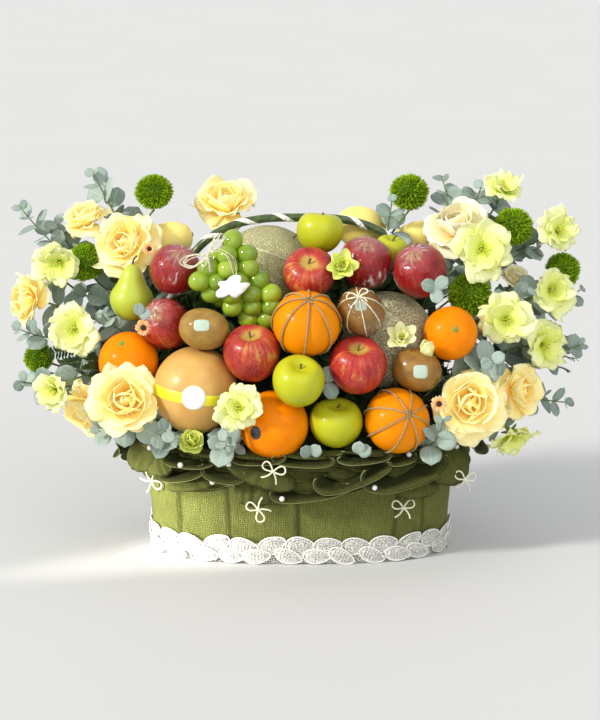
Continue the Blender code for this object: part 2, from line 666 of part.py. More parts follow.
def hull_cutter(obj, gap):
    """A closed convex shell round an object, grown by about gap."""
    bpy.context.view_layer.update()
    points = [obj.matrix_world @ v.co for v in obj.data.vertices]
    middle = sum(points, Vector()) / len(points)
    bm = bmesh.new()
    for point in points:
        out = point - middle
        bm.verts.new(middle + out * (1 + gap / max(out.length, gap)))
    made = bmesh.ops.convex_hull(bm, input=bm.verts)
    inside = [v for v in made["geom_interior"] if isinstance(v, bmesh.types.BMVert)]
    bmesh.ops.delete(bm, geom=inside, context="VERTS")
    bmesh.ops.recalc_face_normals(bm, faces=bm.faces)
    return new_object("cutter", bm)


def collar_sections(extra=0.0):
    """Sections of the gathered collar round the tub. extra grows it on every side, for a cutter."""
    base = superellipse(1, 1, COLLAR_SIDES)
    sections = []
    for i, unit in enumerate(base):
        angle = 2 * math.pi * i / COLLAR_SIDES
        inner_low = collar_point(unit, COLLAR_OFF_WALL - extra, COLLAR_SECTION[0][1] - extra)
        inner_high = collar_point(unit, COLLAR_OFF_WALL - extra, COLLAR_TOP + extra)
        outer = []
        for k in range(len(COLLAR_SECTION)):
            out, height = collar_fold(angle, k)
            outer.append(collar_point(unit, out + extra, height + (extra if k > COLLAR_WAIST else -extra)))
        sections.append([inner_low, *outer, inner_high])
    return sections


def collar_fold(angle, k):
    """How far out and how high the collar's section point k is at an angle round the tub."""
    out, height, wave = COLLAR_SECTION[k]
    tier = k // 3
    turn = COLLAR_FOLDS * angle + COLLAR_TIER_TURN * tier
    ripple = math.sin(turn) + COLLAR_RIPPLE_SIZE * math.sin(COLLAR_RIPPLE_RATE * turn + tier)
    return out * (1 + wave / 2 * ripple), height + COLLAR_DIP * wave * math.cos(0.7 * turn + tier)


def collar_point(unit, out, height):
    """A point of the collar over a point of the unit superellipse."""
    half_x, half_y = tub_size(TUB_HEIGHT)
    return Vector((unit.x * (half_x + out), unit.y * (half_y + out), height))


def front_angle(x, half_x):
    """The superellipse angle of the front point at this place along the length."""
    share = max(-1.0, min(1.0, x / half_x))
    c = math.copysign(abs(share) ** (SQUARENESS / 2), share)
    return -math.acos(c)


def bow_parts(knot, outward, turn):
    """Two loops, two tails and a knot of thin cord, lying against a wall that faces outward."""
    side = Vector((0, 0, 1)).cross(outward).normalized()
    up = outward.cross(side)
    middle = knot + outward * BOW_LIFT

    def flat(along, across, angle):
        a = angle + turn
        x = along * math.cos(a) - across * math.sin(a)
        z = along * math.sin(a) + across * math.cos(a)
        return middle + side * x + up * z + outward * BOW_ARCH * abs(along) / BOW_LOOP

    cords = []
    for angle in (BOW_LOOP_ANGLE, math.pi - BOW_LOOP_ANGLE):
        loop = [middle]
        for k in range(1, BOW_LOOP_STEPS):
            s = math.pi * k / BOW_LOOP_STEPS
            loop.append(flat(BOW_LOOP * math.sin(s), BOW_LOOP_WIDTH * math.sin(2 * s), angle))
        loop.append(middle + up * BOW_CORD_RADIUS / 2)
        cords.append(loop)
    for angle in BOW_TAIL_ANGLES:
        cords.append([middle, flat(BOW_TAIL, 0, angle)])
    parts = [new_object("cord", tube(cord, BOW_CORD_RADIUS, 3)) for cord in cords]
    return [*parts, small_ball("knot", middle, BOW_KNOT_RADIUS)]


def wall_frame(x, height, half_x, half_y):
    """A point on the front of an oval wall, and the way the wall faces there."""
    u, v = rounded_square(front_angle(x, half_x))
    power = SQUARENESS - 1
    slope_x = math.copysign(abs(u) ** power, u) / half_x
    slope_y = math.copysign(abs(v) ** power, v) / half_y
    return Vector((half_x * u, half_y * v, height)), Vector((slope_x, slope_y, 0)).normalized()


def tub():
    """The oval tub in its cloth, hollow, with two bows on its front."""
    foot, rim = tub_size(0), tub_size(TUB_HEIGHT)
    floor = tub_size(TUB_FLOOR)
    rings = [
        superellipse(*foot, TUB_SIDES, height=0),
        superellipse(*rim, TUB_SIDES, height=TUB_HEIGHT),
        superellipse(rim[0] - TUB_WALL, rim[1] - TUB_WALL, TUB_SIDES, height=TUB_HEIGHT),
        superellipse(floor[0] - TUB_WALL, floor[1] - TUB_WALL, TUB_SIDES, height=TUB_FLOOR),
    ]
    body = new_object("tub_cloth", loft(rings), material("olive cloth", OLIVE_CLOTH, 0.9))
    bows = []
    for x, height, turn in TUB_BOWS:
        knot, facing = wall_frame(x, height, *tub_size(height))
        bows += bow_parts(knot, facing, turn)
    boolean(body, "UNION", bows)
    keep_largest_piece(body)
    return body


def lace():
    """The lace band round the tub's foot, with a scalloped top edge."""
    sections = []
    for i, unit in enumerate(superellipse(1, 1, 2 * LACE_SCALLOPS)):
        top = LACE_HEIGHT + (LACE_SCALLOP_RISE if i % 2 else 0)
        half_x, half_y = tub_size(top)
        inner = LACE_OFF_WALL
        outer = inner + LACE_THICKNESS
        low = LACE_OFF_GROUND
        corners = ((inner, low), (outer, low), (outer + LACE_FLARE, top), (inner, top))
        sections.append([Vector((unit.x * (half_x + out), unit.y * (half_y + out), z)) for out, z in corners])
    return new_object("lace_band", closed_ring(sections), material("lace", WHITE_LACE, 0.85))


def collar(cutters):
    """The gathered cloth collar with its bows and pearls, pressed in where fruit and flowers lie on it."""
    ruffle = closed_ring(collar_sections())
    body = new_object("collar_ruffle", ruffle, material("olive cloth", OLIVE_CLOTH, 0.9))
    trims = []
    for x, height, turn, k in COLLAR_BOWS:
        reach = COLLAR_SECTION[k][0]
        knot, facing = wall_frame(x, height, TUB_RIM[0] + reach, TUB_RIM[1] + reach)
        trims += bow_parts(knot, facing, turn)
    for x, k in PEARLS:
        angle = front_angle(x, TUB_RIM[0] + COLLAR_SECTION[k][0])
        out, height = collar_fold(angle, k)
        point, _ = wall_frame(x, height, TUB_RIM[0] + out, TUB_RIM[1] + out)
        trims.append(small_ball("pearl", point, PEARL_RADIUS))
    boolean(body, "UNION", trims)
    boolean(body, "DIFFERENCE", cutters)
    keep_largest_piece(body)
    return body


def grow_leaf(bm, patch, ahead, lean, length):
    """A thin blade that grows out of a patch of four corners on a stem, listed low side first."""
    middle = sum((v.co for v in patch), Vector()) / 4
    thick = (patch[1].co - patch[0].co).normalized()
    outward = thick.cross(ahead).normalized()
    along = (outward + ahead * lean).normalized()
    wide = along.cross(thick)
    if wide.dot(ahead) < 0:
        wide = -wide
    loop = patch
    for t, half_width in LEAF_OUTLINE:
        centre = middle + along * (t * length)
        corners = []
        for w, h in ((-1, -1), (-1, 1), (1, 1), (1, -1)):
            corners.append(centre + wide * (w * half_width * length) + thick * (h * LEAF_THICKNESS / 2))
        after = [bm.verts.new(corner) for corner in corners]
        for k in range(4):
            m = (k + 1) % 4
            bm.faces.new((loop[k], loop[m], after[m], after[k]))
        loop = after
    bm.faces.new(loop)


def sprig(root, way, tip, leaves, length, load):
    """A eucalyptus sprig: a thin stem with blades round its outer part, all one mesh."""
    line = free_line(Vector(root), Vector(way), Vector(tip), SPRIG_STEPS, load)
    step = (line[-1] - line[-2]).length
    stride = max(1, round(LEAF_PITCH / step))
    first = SPRIG_STEPS - stride * leaves
    marks = [0, first // 2] + [first + stride * k for k in range(leaves + 1)]
    bm = bmesh.new()
    rings = tube_rings(line, STEM_RADIUS, STEM_SIDES, marks)
    rows = [[bm.verts.new(point) for point in ring] for ring in rings]
    bm.faces.new(list(reversed(rows[0])))
    bm.faces.new(rows[-1])
    for n, (low, high) in enumerate(zip(rows, rows[1:])):
        ahead = (line[marks[n + 1]] - line[marks[n]]).normalized()
        for k in range(STEM_SIDES):
            m = (k + 1) % STEM_SIDES
            patch = [low[k], low[m], high[m], high[k]]
            if n < 2 or k != n % STEM_SIDES:
                bm.faces.new(patch)
            elif n < len(rows) - 2:
                grow_leaf(bm, patch, ahead, LEAF_LEAN, length)
            else:
                grow_leaf(bm, patch, ahead, TIP_LEAF_LEAN, length * TIP_LEAF_SHARE)
    return new_object("sprig", bm)


def bed_section(height):
    """The packing's half length, front and back at a height above the tub."""
    for low, high in zip(BED_SECTIONS, BED_SECTIONS[1:]):
        if height <= high[0]:
            break
    share = max(0.0, (height - low[0]) / (high[0] - low[0]))
    return [a + (b - a) * share for a, b in zip(low[1:], high[1:])]


def in_bed(point):
    """Whether a point lies well inside the packing."""
    half_x, front, back = bed_section(point.z)
    across = abs(point.x) / half_x
    deep = abs(point.y - (front + back) / 2) / ((back - front) / 2)
    inside = across**SQUARENESS + deep**SQUARENESS < BED_ROOT_SHARE
    lowest = BED_SECTIONS[0][0] + BED_ROOT_MARGIN[0]
    return inside and lowest < point.z < BED_SECTIONS[-1][0] - BED_ROOT_MARGIN[1]


def free_line(root, way, end, steps, load, own=None):
    """The curve from near root to end that meets the fewest heads and fruits, bent away from way."""
    best, fewest = None, None
    near = [item for item in load if item is not own]
    for back, lift, across, shift in itertools.product(*STEM_BENDS, ROOT_SHIFTS):
        start = root + Vector(shift)
        middle = way + Vector((across, back, lift))
        met = 0 if in_bed(start) else LOOSE_ROOT_COST
        for point in bezier(start, middle, end, PROBE_STEPS)[:-1]:
            met += sum(item.holds(point, STEM_CLEARANCE) for item in near)
            met += any((point - post).length < HANDLE_RADIUS + STEM_CLEARANCE for post in HANDLE_POSTS)
            if fewest is not None and met >= fewest:
                break
        if fewest is None or met < fewest:
            best, fewest = (start, middle), met
        if met == 0:
            break
    return bezier(*best, end, steps)


def flower_stem(item, load):
    """A stem from the packing to the back of a flower head, led round what is in its way."""
    away = item.rotation @ Vector((0, 0, -1))
    back = item.place + away * item.half_height * 0.9
    reach = math.copysign(min(abs(item.place.x) * ROOT_SHARE, ROOT_REACH), item.place.x)
    height = max(ROOT_HEIGHTS[0], min(ROOT_HEIGHTS[1], item.place.z - ROOT_DROP))
    depth = ROOT_BACK if item.place.y > 0 else ROOT_MIDDLE
    if item.place.z < ROOT_HEIGHTS[1] and item.place.y < ROOT_FRONT - ROOT_BACK:
        depth = ROOT_FRONT
    root = Vector((reach, depth, height))
    way = (back + away * 0.45 * (back - root).length).lerp(root.lerp(back, 0.5), 0.4)
    line = free_line(root, way, back, STEM_STEPS, load, item)
    return new_object("stem", tube(line, STEM_RADIUS * 1.25, STEM_SIDES))


def small_bloom(centre, radius, thickness, facing, root, load):
    """A little daisy-like bloom on a short stem that runs back into the packing."""
    facing = Vector(facing).normalized()
    swing = Vector((0, 0, 1)).rotation_difference(facing).to_matrix()
    profile = [(r * radius, z * thickness, 0, 0) for r, z in DAISY_SECTION]
    head = lathe(profile, 10)
    middle = Vector(centre)
    bmesh.ops.transform(head, matrix=Matrix.Translation(middle) @ swing.to_4x4(), verts=head.verts)
    root = Vector(root)
    line = free_line(root, middle.lerp(root, 0.5), middle - facing * thickness * 0.4, STEM_STEPS, load)
    return [new_object("bloom", head), new_object("stem", tube(line, STEM_RADIUS, STEM_SIDES))]


def greenery(cutters, load):
    """The packing that fills the tub and carries the heap, with the stems, leaves and blooms set in it."""
    floor = tub_size(TUB_FLOOR)
    inset = TUB_WALL + BED_GAP
    rim = tub_size(TUB_HEIGHT)
    rings = [
        superellipse(floor[0] - inset, floor[1] - inset, TUB_SIDES, height=TUB_FLOOR + BED_GAP),
        superellipse(rim[0] - inset, rim[1] - inset, TUB_SIDES, height=TUB_HEIGHT),
    ]
    for row, (height, half_x, front, back) in enumerate(BED_SECTIONS):
        ring = superellipse(half_x, (back - front) / 2, TUB_SIDES, (front + back) / 2, height)
        middle = Vector((0, (front + back) / 2, height))
        for i, point in enumerate(ring):
            if row and (i + row) % 2:
                ring[i] = point.lerp(middle, BED_TUFT) - Vector((0, 0, BED_TUFT_DROP))
        rings.append(ring)
    body = new_object("greenery", loft(rings), material("foliage", FOLIAGE, 0.6))
    parts = []
    for item in FLOWERS:
        parts.append(flower_stem(item, load))
    for row in SPRIGS:
        parts.append(sprig(*row, load))
    for row in SMALL_BLOOMS:
        parts += small_bloom(*row, load)
    boolean(body, "UNION", parts)
    boolean(body, "DIFFERENCE", cutters)
    keep_largest_piece(body)
    return body


def handle():
    """The hoop handle."""
    hoop = tube(handle_line(), HANDLE_RADIUS, HANDLE_SIDES)
    return new_object("handle_hoop", hoop, material("ribbon", RIBBON_GREEN, 0.35))


def heap_item(item):
    """One fruit or flower head, placed by its own location and rotation."""
    make, colour, roughness = KINDS[item.kind]
    obj = new_object(item.name, make(item), material(item.kind, colour, roughness))
    obj.location = item.place
    obj.rotation_mode = "QUATERNION"
    obj.rotation_quaternion = item.rotation.to_quaternion()
    return obj


def main():
    """Builds the basket, then its load, then what is cut to fit round the load."""
    for obj in list(bpy.data.objects):
        bpy.data.objects.remove(obj)
    load = [*FRUIT, *FLOWERS]
    spread_apart([*load, GRAPE_BUNCH])
    cluster = grapes(GRAPE_BUNCH.place, load)
    fruit = [heap_item(item) for item in FRUIT]
    heads = [heap_item(item) for item in FLOWERS]
    handle()
    tub()
    lace()
    collar([hull_cutter(obj, SOCKET_GAP) for obj in (*fruit, *heads)])
    cutters = [coarse_cutter(item) for item in FRUIT]
    cutters += [hull_cutter(obj, SOCKET_GAP) for obj in (cluster, *heads)]
    path = handle_line(HANDLE_FOOT - SOCKET_GAP)
    cutters.append(new_object("cutter", tube(path, HANDLE_RADIUS + 2 * SOCKET_GAP, HANDLE_SIDES)))
    cutters.append(new_object("cutter", closed_ring(collar_sections(SOCKET_GAP))))
    greenery(cutters, [*load, GRAPE_BUNCH])


main()
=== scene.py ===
"""The looks of a fruit gift basket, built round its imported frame.

Each fruit, flower head and cloth piece takes the place of its plain solid. Metres, +Z up, front towards -Y.
"""

import json
import logging
import math
from dataclasses import dataclass, field
from enum import Enum

import bmesh
import bpy
import numpy as np
from mathutils import Matrix, Vector
from mathutils.bvhtree import BVHTree

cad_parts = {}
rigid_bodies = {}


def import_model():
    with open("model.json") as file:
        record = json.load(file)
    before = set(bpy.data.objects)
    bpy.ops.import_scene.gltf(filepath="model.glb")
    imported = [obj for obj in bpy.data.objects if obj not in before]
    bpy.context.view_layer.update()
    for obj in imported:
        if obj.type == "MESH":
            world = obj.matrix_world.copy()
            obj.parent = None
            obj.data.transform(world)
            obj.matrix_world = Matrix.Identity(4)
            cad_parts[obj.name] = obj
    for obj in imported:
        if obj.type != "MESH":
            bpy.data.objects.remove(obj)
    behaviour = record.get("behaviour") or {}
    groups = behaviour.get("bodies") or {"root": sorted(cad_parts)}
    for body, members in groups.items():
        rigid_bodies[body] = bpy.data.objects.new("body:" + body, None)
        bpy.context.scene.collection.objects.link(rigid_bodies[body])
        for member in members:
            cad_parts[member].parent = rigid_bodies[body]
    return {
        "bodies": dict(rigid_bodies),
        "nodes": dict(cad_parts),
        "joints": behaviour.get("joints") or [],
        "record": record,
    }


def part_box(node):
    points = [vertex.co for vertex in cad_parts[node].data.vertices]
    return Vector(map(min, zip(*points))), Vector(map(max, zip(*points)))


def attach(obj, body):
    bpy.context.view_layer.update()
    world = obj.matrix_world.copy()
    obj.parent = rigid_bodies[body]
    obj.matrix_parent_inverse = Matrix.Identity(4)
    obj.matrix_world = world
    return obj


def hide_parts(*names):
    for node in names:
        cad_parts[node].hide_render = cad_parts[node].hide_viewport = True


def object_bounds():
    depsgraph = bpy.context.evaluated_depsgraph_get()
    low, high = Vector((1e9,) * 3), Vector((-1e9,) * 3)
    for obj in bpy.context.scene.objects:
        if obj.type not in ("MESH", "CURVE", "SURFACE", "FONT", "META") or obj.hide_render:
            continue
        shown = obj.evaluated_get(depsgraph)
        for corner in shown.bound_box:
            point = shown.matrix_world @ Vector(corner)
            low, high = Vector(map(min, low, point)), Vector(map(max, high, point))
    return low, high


for leftover in list(bpy.data.objects):
    bpy.data.objects.remove(leftover)
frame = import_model()
CAD_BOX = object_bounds()

log = logging.getLogger("fruit_basket")

Triple = tuple[float, float, float]
Socket = bpy.types.NodeSocket
Piece = bpy.types.Object
TURN = 2 * math.pi
BODY = "root"


def unit(vectors: np.ndarray) -> np.ndarray:
    """Vectors scaled to length one."""
    return vectors / np.maximum(np.linalg.norm(vectors, axis=-1, keepdims=True), 1e-12)


def turned_to(axis: Triple | np.ndarray, spin: float = 0.0) -> np.ndarray:
    """The rotation that spins about +Z and then takes +Z to an axis.

    Args:
        axis: where +Z goes.
        spin: the turn about +Z before that, in radians.

    Returns:
        A 3 by 3 array whose columns are the turned X, Y and Z.
    """
    swing = Vector((0, 0, 1)).rotation_difference(Vector(axis)).to_matrix()
    return np.array(swing @ Matrix.Rotation(spin, 3, "Z"))


def ripple(points: np.ndarray, size: float, seed: int) -> np.ndarray:
    """A smooth, repeatable wobble of about -1 to 1.

    Args:
        points: where it is read, with three numbers in the last axis.
        size: the length of its waves, in the units of points.
        seed: which wobble.

    Returns:
        One value for each point.
    """
    rng = np.random.default_rng(seed)
    total = np.zeros(points.shape[:-1])
    for _ in range(7):
        wave = unit(rng.normal(size=3)) * TURN / size * rng.uniform(0.6, 1.5)
        total += np.sin(points @ wave + rng.uniform(0, TURN))
    return total / 3.5


def bezier(start: np.ndarray, middle: np.ndarray, end: np.ndarray, steps: int) -> np.ndarray:
    """Points of a smooth curve from start to end that is drawn towards middle."""
    t = np.linspace(0, 1, steps + 1)[:, None]
    return start * (1 - t) ** 2 + middle * 2 * t * (1 - t) + end * t * t


def smooth_line(points: list, steps: int) -> np.ndarray:
    """A Catmull-Rom curve through points, with steps stretches between each two.

    Args:
        points: what it passes through.
        steps: stretches between each two.

    Returns:
        The curve's points.
    """
    p = np.array(points, float)
    p = np.vstack([2 * p[0] - p[1], p, 2 * p[-1] - p[-2]])
    line = []
    for i in range(1, len(p) - 2):
        for t in np.arange(steps) / steps:
            a = 2 * p[i]
            b = p[i + 1] - p[i - 1]
            c = 2 * p[i - 1] - 5 * p[i] + 4 * p[i + 1] - p[i + 2]
            d = -p[i - 1] + 3 * p[i] - 3 * p[i + 1] + p[i + 2]
            line.append((a + b * t + c * t * t + d * t**3) / 2)
    line.append(p[-2])
    return np.array(line)


def distances(line: np.ndarray) -> np.ndarray:
    """How far along a line each of its points is."""
    return np.concatenate([[0], np.cumsum(np.linalg.norm(np.diff(line, axis=0), axis=1))])


def places(line: np.ndarray, along: np.ndarray, here: np.ndarray | float) -> np.ndarray:
    """The places at given distances along a line, whose points are at the distances along."""
    return np.stack([np.interp(here, along, line[:, k]) for k in range(3)], axis=-1)


def blade_skin(across: np.ndarray, along: np.ndarray, tone: float) -> np.ndarray:
    """The skin values of a petal, leaf or label: across it, along it and its own tone."""
    return np.stack(np.broadcast_arrays(across, along, tone), axis=-1)


class Draft:
    """The surfaces of one piece, gathered grid by grid, with a skin value of three numbers at each point."""

    def __init__(self) -> None:
        """Starts with nothing in it."""
        self.points: list[np.ndarray] = []
        self.skins: list[np.ndarray] = []
        self.faces: list[np.ndarray] = []
        self.slots: list[np.ndarray] = []
        self.size = 0

    def sheet(self, grid: np.ndarray, skin: np.ndarray, around: bool = False, slot: int = 0) -> None:
        """Adds a grid of points as quads.

        Args:
            grid: points by row and column.
            skin: the skin values, by row and column too.
            around: whether the last column joins the first.
            slot: which of the piece's finishes it takes.
        """
        rows, columns = grid.shape[:2]
        index = np.arange(rows * columns).reshape(rows, columns) + self.size
        after = np.roll(index, -1, axis=1)
        if not around:
            index, after = index[:, :-1], after[:, :-1]
        quads = np.stack([index[:-1], after[:-1], after[1:], index[1:]], axis=-1).reshape(-1, 4)
        self.points.append(grid.reshape(-1, 3))
        self.skins.append(np.broadcast_to(skin, grid.shape).reshape(-1, 3))
        self.faces.append(quads)
        self.slots.append(np.full(len(quads), slot))
        self.size += rows * columns

    def tube(
        self,
        line: np.ndarray,
        radius: float | np.ndarray,
        sides: int = 6,
        tone: float = 0.5,
        slot: int = 0,
        closed: bool = False,
        flat: float = 1.0,
    ) -> None:
        """Adds a tube along a line of points.

        Args:
            line: the points.
            radius: one radius, or one for each point.
            sides: how many sides it has.
            tone: the third skin number.
            slot: which finish it takes.
            closed: whether the line ends where it starts.
            flat: how thick it is across its first side, as a share of its width.
        """
        if closed:
            ahead = unit(np.roll(line, -1, axis=0) - np.roll(line, 1, axis=0))
        else:
            ahead = unit(np.gradient(line, axis=0))
        radius = np.broadcast_to(radius, len(line))
        side = np.array(Vector(ahead[0]).orthogonal().normalized())
        turns = np.arange(sides) * TURN / sides
        rings = []
        for point, way, size in zip(line, ahead, radius):
            side = unit(side - way * (side @ way))
            other = np.cross(way, side)
            ring = np.cos(turns)[:, None] * side * flat + np.sin(turns)[:, None] * other
            rings.append(point + ring * size)
        along = distances(line)
        if closed:
            rings.append(rings[0])
            along = np.append(along, along[-1] + np.linalg.norm(line[0] - line[-1]))
        else:
            rings = [np.repeat(line[:1], sides, axis=0), *rings, np.repeat(line[-1:], sides, axis=0)]
            along = np.concatenate([[0], along, along[-1:]])
        grid = np.array(rings)
        skin = np.zeros(grid.shape)
        skin[..., 0] = np.arange(sides) / sides
        skin[..., 1] = along[:, None]
        skin[..., 2] = tone
        self.sheet(grid, skin, around=True, slot=slot)

    def ball(self, centre: np.ndarray, size: np.ndarray | float, tone: float = 0.5, sides: int = 12) -> None:
        """Adds a round body of a given half size about centre.

        Args:
            centre: its middle.
            size: its half size.
            tone: its own tone.
            sides: points round it.
        """
        polar = np.linspace(0, math.pi, sides // 2 + 1)[:, None]
        turns = np.arange(sides)[None] * TURN / sides
        round_one = np.stack(
            [np.sin(polar) * np.cos(turns), np.sin(polar) * np.sin(turns), -np.cos(polar) * np.ones(sides)],
            axis=-1,
        )
        skin = round_one.copy()
        skin[..., 2] = tone
        self.sheet(centre + round_one * size, skin, around=True)

    def make(self, name: str, finishes: list["Finish"], slot: str, thickness: float = 0.0) -> Piece:
        """Makes the piece and lets it ride on the basket.

        Args:
            name: the piece's name.
            finishes: its finishes, in the order of the slots given before.
            slot: the record's material slot; not used.
            thickness: the thickness that open sheets are given.

        Returns:
            The object.
        """
        mesh = bpy.data.meshes.new(name)
        points = np.concatenate(self.points)
        faces = np.concatenate(self.faces)
        mesh.from_pydata(points.tolist(), [], faces.tolist())
        skin = mesh.attributes.new("skin", "FLOAT_VECTOR", "POINT")
        skin.data.foreach_set("vector", np.concatenate(self.skins).astype(np.float32).ravel())
        mesh.polygons.foreach_set("material_index", np.concatenate(self.slots).astype(np.int32))
        for finish in finishes:
            mesh.materials.append(finish.material())
        bm = bmesh.new()
        bm.from_mesh(mesh)
        bmesh.ops.remove_doubles(bm, verts=bm.verts, dist=1e-6)
        bmesh.ops.dissolve_degenerate(bm, edges=bm.edges, dist=1e-7)
        bm.to_mesh(mesh)
        bm.free()
        mesh.shade_smooth()
        piece = bpy.data.objects.new(name, mesh)
        bpy.context.scene.collection.objects.link(piece)
        if thickness:
            solid = piece.modifiers.new("thickness", "SOLIDIFY")
            solid.thickness = thickness
            solid.offset = 0
        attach(piece, BODY)
        return piece


class Wiring:
    """Adds nodes to one node tree and links them."""

    def __init__(self, tree: bpy.types.NodeTree) -> None:
        """Takes the tree."""
        self.tree = tree

    def add(self, kind: str, values: dict | None = None, **settings: object) -> bpy.types.Node:
        """Adds a node.

        Args:
            kind: the node's type name.
            values: for each input, a value or the socket that feeds it.
            settings: properties of the node.

        Returns:
            The node.
        """
        node = self.tree.nodes.new(kind)
        for name, value in settings.items():
            setattr(node, name, value)
        for name, value in (values or {}).items():
            socket = node.inputs[name]
            if isinstance(value, Socket):
                self.tree.links.new(value, socket)
            else:
                socket.default_value = value
        return node

    def sum(self, operation: str, first: object, second: object = 0.0, third: object = 0.0) -> Socket:
        """The result of a Math node."""
        return self.add("ShaderNodeMath", {0: first, 1: second, 2: third}, operation=operation).outputs[0]

    def parts(self, vector: Socket) -> list[Socket]:
        """The three numbers of a vector."""
        return list(self.add("ShaderNodeSeparateXYZ", {0: vector}).outputs)

    def vector(self, x: object, y: object, z: object) -> Socket:
        """A vector of three numbers."""
        return self.add("ShaderNodeCombineXYZ", {0: x, 1: y, 2: z}).outputs[0]

    def skin(self) -> Socket:
        """The skin values of the mesh."""
        return self.add("ShaderNodeAttribute", attribute_name="skin").outputs["Vector"]

    def place(self) -> Socket:
        """The place on the object, in metres."""
        return self.add("ShaderNodeTexCoord").outputs["Object"]

    def fade(self, value: object, low: float, high: float) -> Socket:
        """A smooth step from 0 at low to 1 at high.

        Args:
            value: what is stepped.
            low: where the step begins.
            high: where it ends.

        Returns:
            The step's socket.
        """
        return self.add(
            "ShaderNodeMapRange",
            {"Value": value, "From Min": low, "From Max": high},
            interpolation_type="SMOOTHSTEP",
        ).outputs[0]

    def mix(self, share: object, first: object, second: object) -> Socket:
        """A colour between two colours.

        Args:
            share: the share of the second.
            first: a colour.
            second: another colour.

        Returns:
            The colour's socket.
        """
        node = self.add("ShaderNodeMix", data_type="RGBA")
        for index, value in ((0, share), (6, first), (7, second)):
            socket = node.inputs[index]
            if isinstance(value, Socket):
                self.tree.links.new(value, socket)
            elif index == 0:
                socket.default_value = value
            else:
                socket.default_value = (*value, 1)
        return node.outputs[2]

    def noise(self, vector: object, scale: object, detail: float = 3.0) -> Socket:
        """Noise from 0 to 1."""
        return self.add("ShaderNodeTexNoise", {"Vector": vector, "Scale": scale, "Detail": detail}).outputs[0]


class Effect:
    """A shader node group, made once and placed in each material that uses it."""

    title = ""
    numbers: dict[str, float] = {}

    def wire(self, w: Wiring, given: dict) -> dict[str, Socket]:
        """Fills the group.

        Args:
            w: the group's wiring.
            given: the group's inputs by name.

        Returns:
            What the group puts out, by name.
        """
        raise NotImplementedError

    def tree(self) -> bpy.types.NodeTree:
        """The group's node tree.

        Returns:
            The tree, made on first use.
        """
        made = bpy.data.node_groups.get(self.title)
        if made is not None:
            return made
        made = bpy.data.node_groups.new(self.title, "ShaderNodeTree")
        made.interface.new_socket("Vector", in_out="INPUT", socket_type="NodeSocketVector")
        for name, value in self.numbers.items():
            socket = made.interface.new_socket(name, in_out="INPUT", socket_type="NodeSocketFloat")
            socket.default_value = value
        w = Wiring(made)
        start = w.add("NodeGroupInput")
        results = self.wire(w, {socket.name: socket for socket in start.outputs})
        for name in results:
            made.interface.new_socket(name, in_out="OUTPUT", socket_type="NodeSocketFloat")
        w.add("NodeGroupOutput", results)
        return made

    def place(self, w: Wiring, vector: Socket, **numbers: float) -> dict[str, Socket]:
        """Places the group in a material.

        Args:
            w: the material's wiring.
            vector: where the effect is read.
            numbers: values for its inputs.

        Returns:
            Its outputs by name.
        """
        values = {"Vector": vector, **{name.replace("_", " ").title(): x for name, x in numbers.items()}}
        node = w.tree.nodes.new("ShaderNodeGroup")
        node.node_tree = self.tree()
        for name, value in values.items():
            if isinstance(value, Socket):
                w.tree.links.new(value, node.inputs[name])
            else:
                node.inputs[name].default_value = value
        return {socket.name: socket for socket in node.outputs}


class Mottle(Effect):
    """Uneven patches, with finer ones within them."""

    title = "Mottle"
    numbers = {"Scale": 40.0, "Low": 0.35, "High": 0.65}

    def wire(self, w: Wiring, given: dict) -> dict[str, Socket]:
        """Noise with its contrast raised.

        Args:
            w: the wiring of the group.
            given: the group's inputs, by name.

        Returns:
            The results, by name.
        """
        fine = w.noise(given["Vector"], given["Scale"], 5.0)
        spread = w.add(
            "ShaderNodeMapRange", {"Value": fine, "From Min": given["Low"], "From Max": given["High"]}
        ).outputs[0]
        return {"Value": spread}


class Pores(Effect):
    """Small dimples, as in the peel of an orange."""

    title = "Pores"
    numbers = {"Scale": 500.0, "Size": 0.45}

    def wire(self, w: Wiring, given: dict) -> dict[str, Socket]:
        """Round pits at scattered points.

        Args:
            w: the wiring of the group.
            given: the group's inputs, by name.

        Returns:
            The results, by name.
        """
        cells = w.add("ShaderNodeTexVoronoi", {"Vector": given["Vector"], "Scale": given["Scale"]})
        pit = w.add(
            "ShaderNodeMapRange",
            {"Value": cells.outputs["Distance"], "From Min": 0.05, "From Max": given["Size"]},
            interpolation_type="SMOOTHSTEP",
        ).outputs[0]
        return {"Height": pit, "Pit": w.sum("SUBTRACT", 1.0, pit)}


class Net(Effect):
    """A net of corky cords over a rind."""

    title = "Net"
    numbers = {"Scale": 300.0, "Width": 0.16, "Bend": 0.5}

    def wire(self, w: Wiring, given: dict) -> dict[str, Socket]:
        """The borders between warped cells.

        Args:
            w: the wiring of the group.
            given: the group's inputs, by name.

        Returns:
            The results, by name.
        """
        bent = w.add(
            "ShaderNodeTexNoise", {"Vector": given["Vector"], "Scale": w.sum("MULTIPLY", given["Scale"], 0.8)}
        ).outputs["Color"]
        push = w.add(
            "ShaderNodeVectorMath",
            {0: bent, 3: w.sum("DIVIDE", given["Bend"], given["Scale"])},
            operation="SCALE",
        ).outputs[0]
        moved = w.add("ShaderNodeVectorMath", {0: given["Vector"], 1: push}, operation="ADD").outputs[0]
        cells = w.add(
            "ShaderNodeTexVoronoi", {"Vector": moved, "Scale": given["Scale"]}, feature="DISTANCE_TO_EDGE"
        )
        edge = w.add(
            "ShaderNodeMapRange",
            {"Value": cells.outputs["Distance"], "From Min": 0.0, "From Max": given["Width"]},
            interpolation_type="SMOOTHSTEP",
        ).outputs[0]
        return {"Cord": w.sum("SUBTRACT", 1.0, edge)}


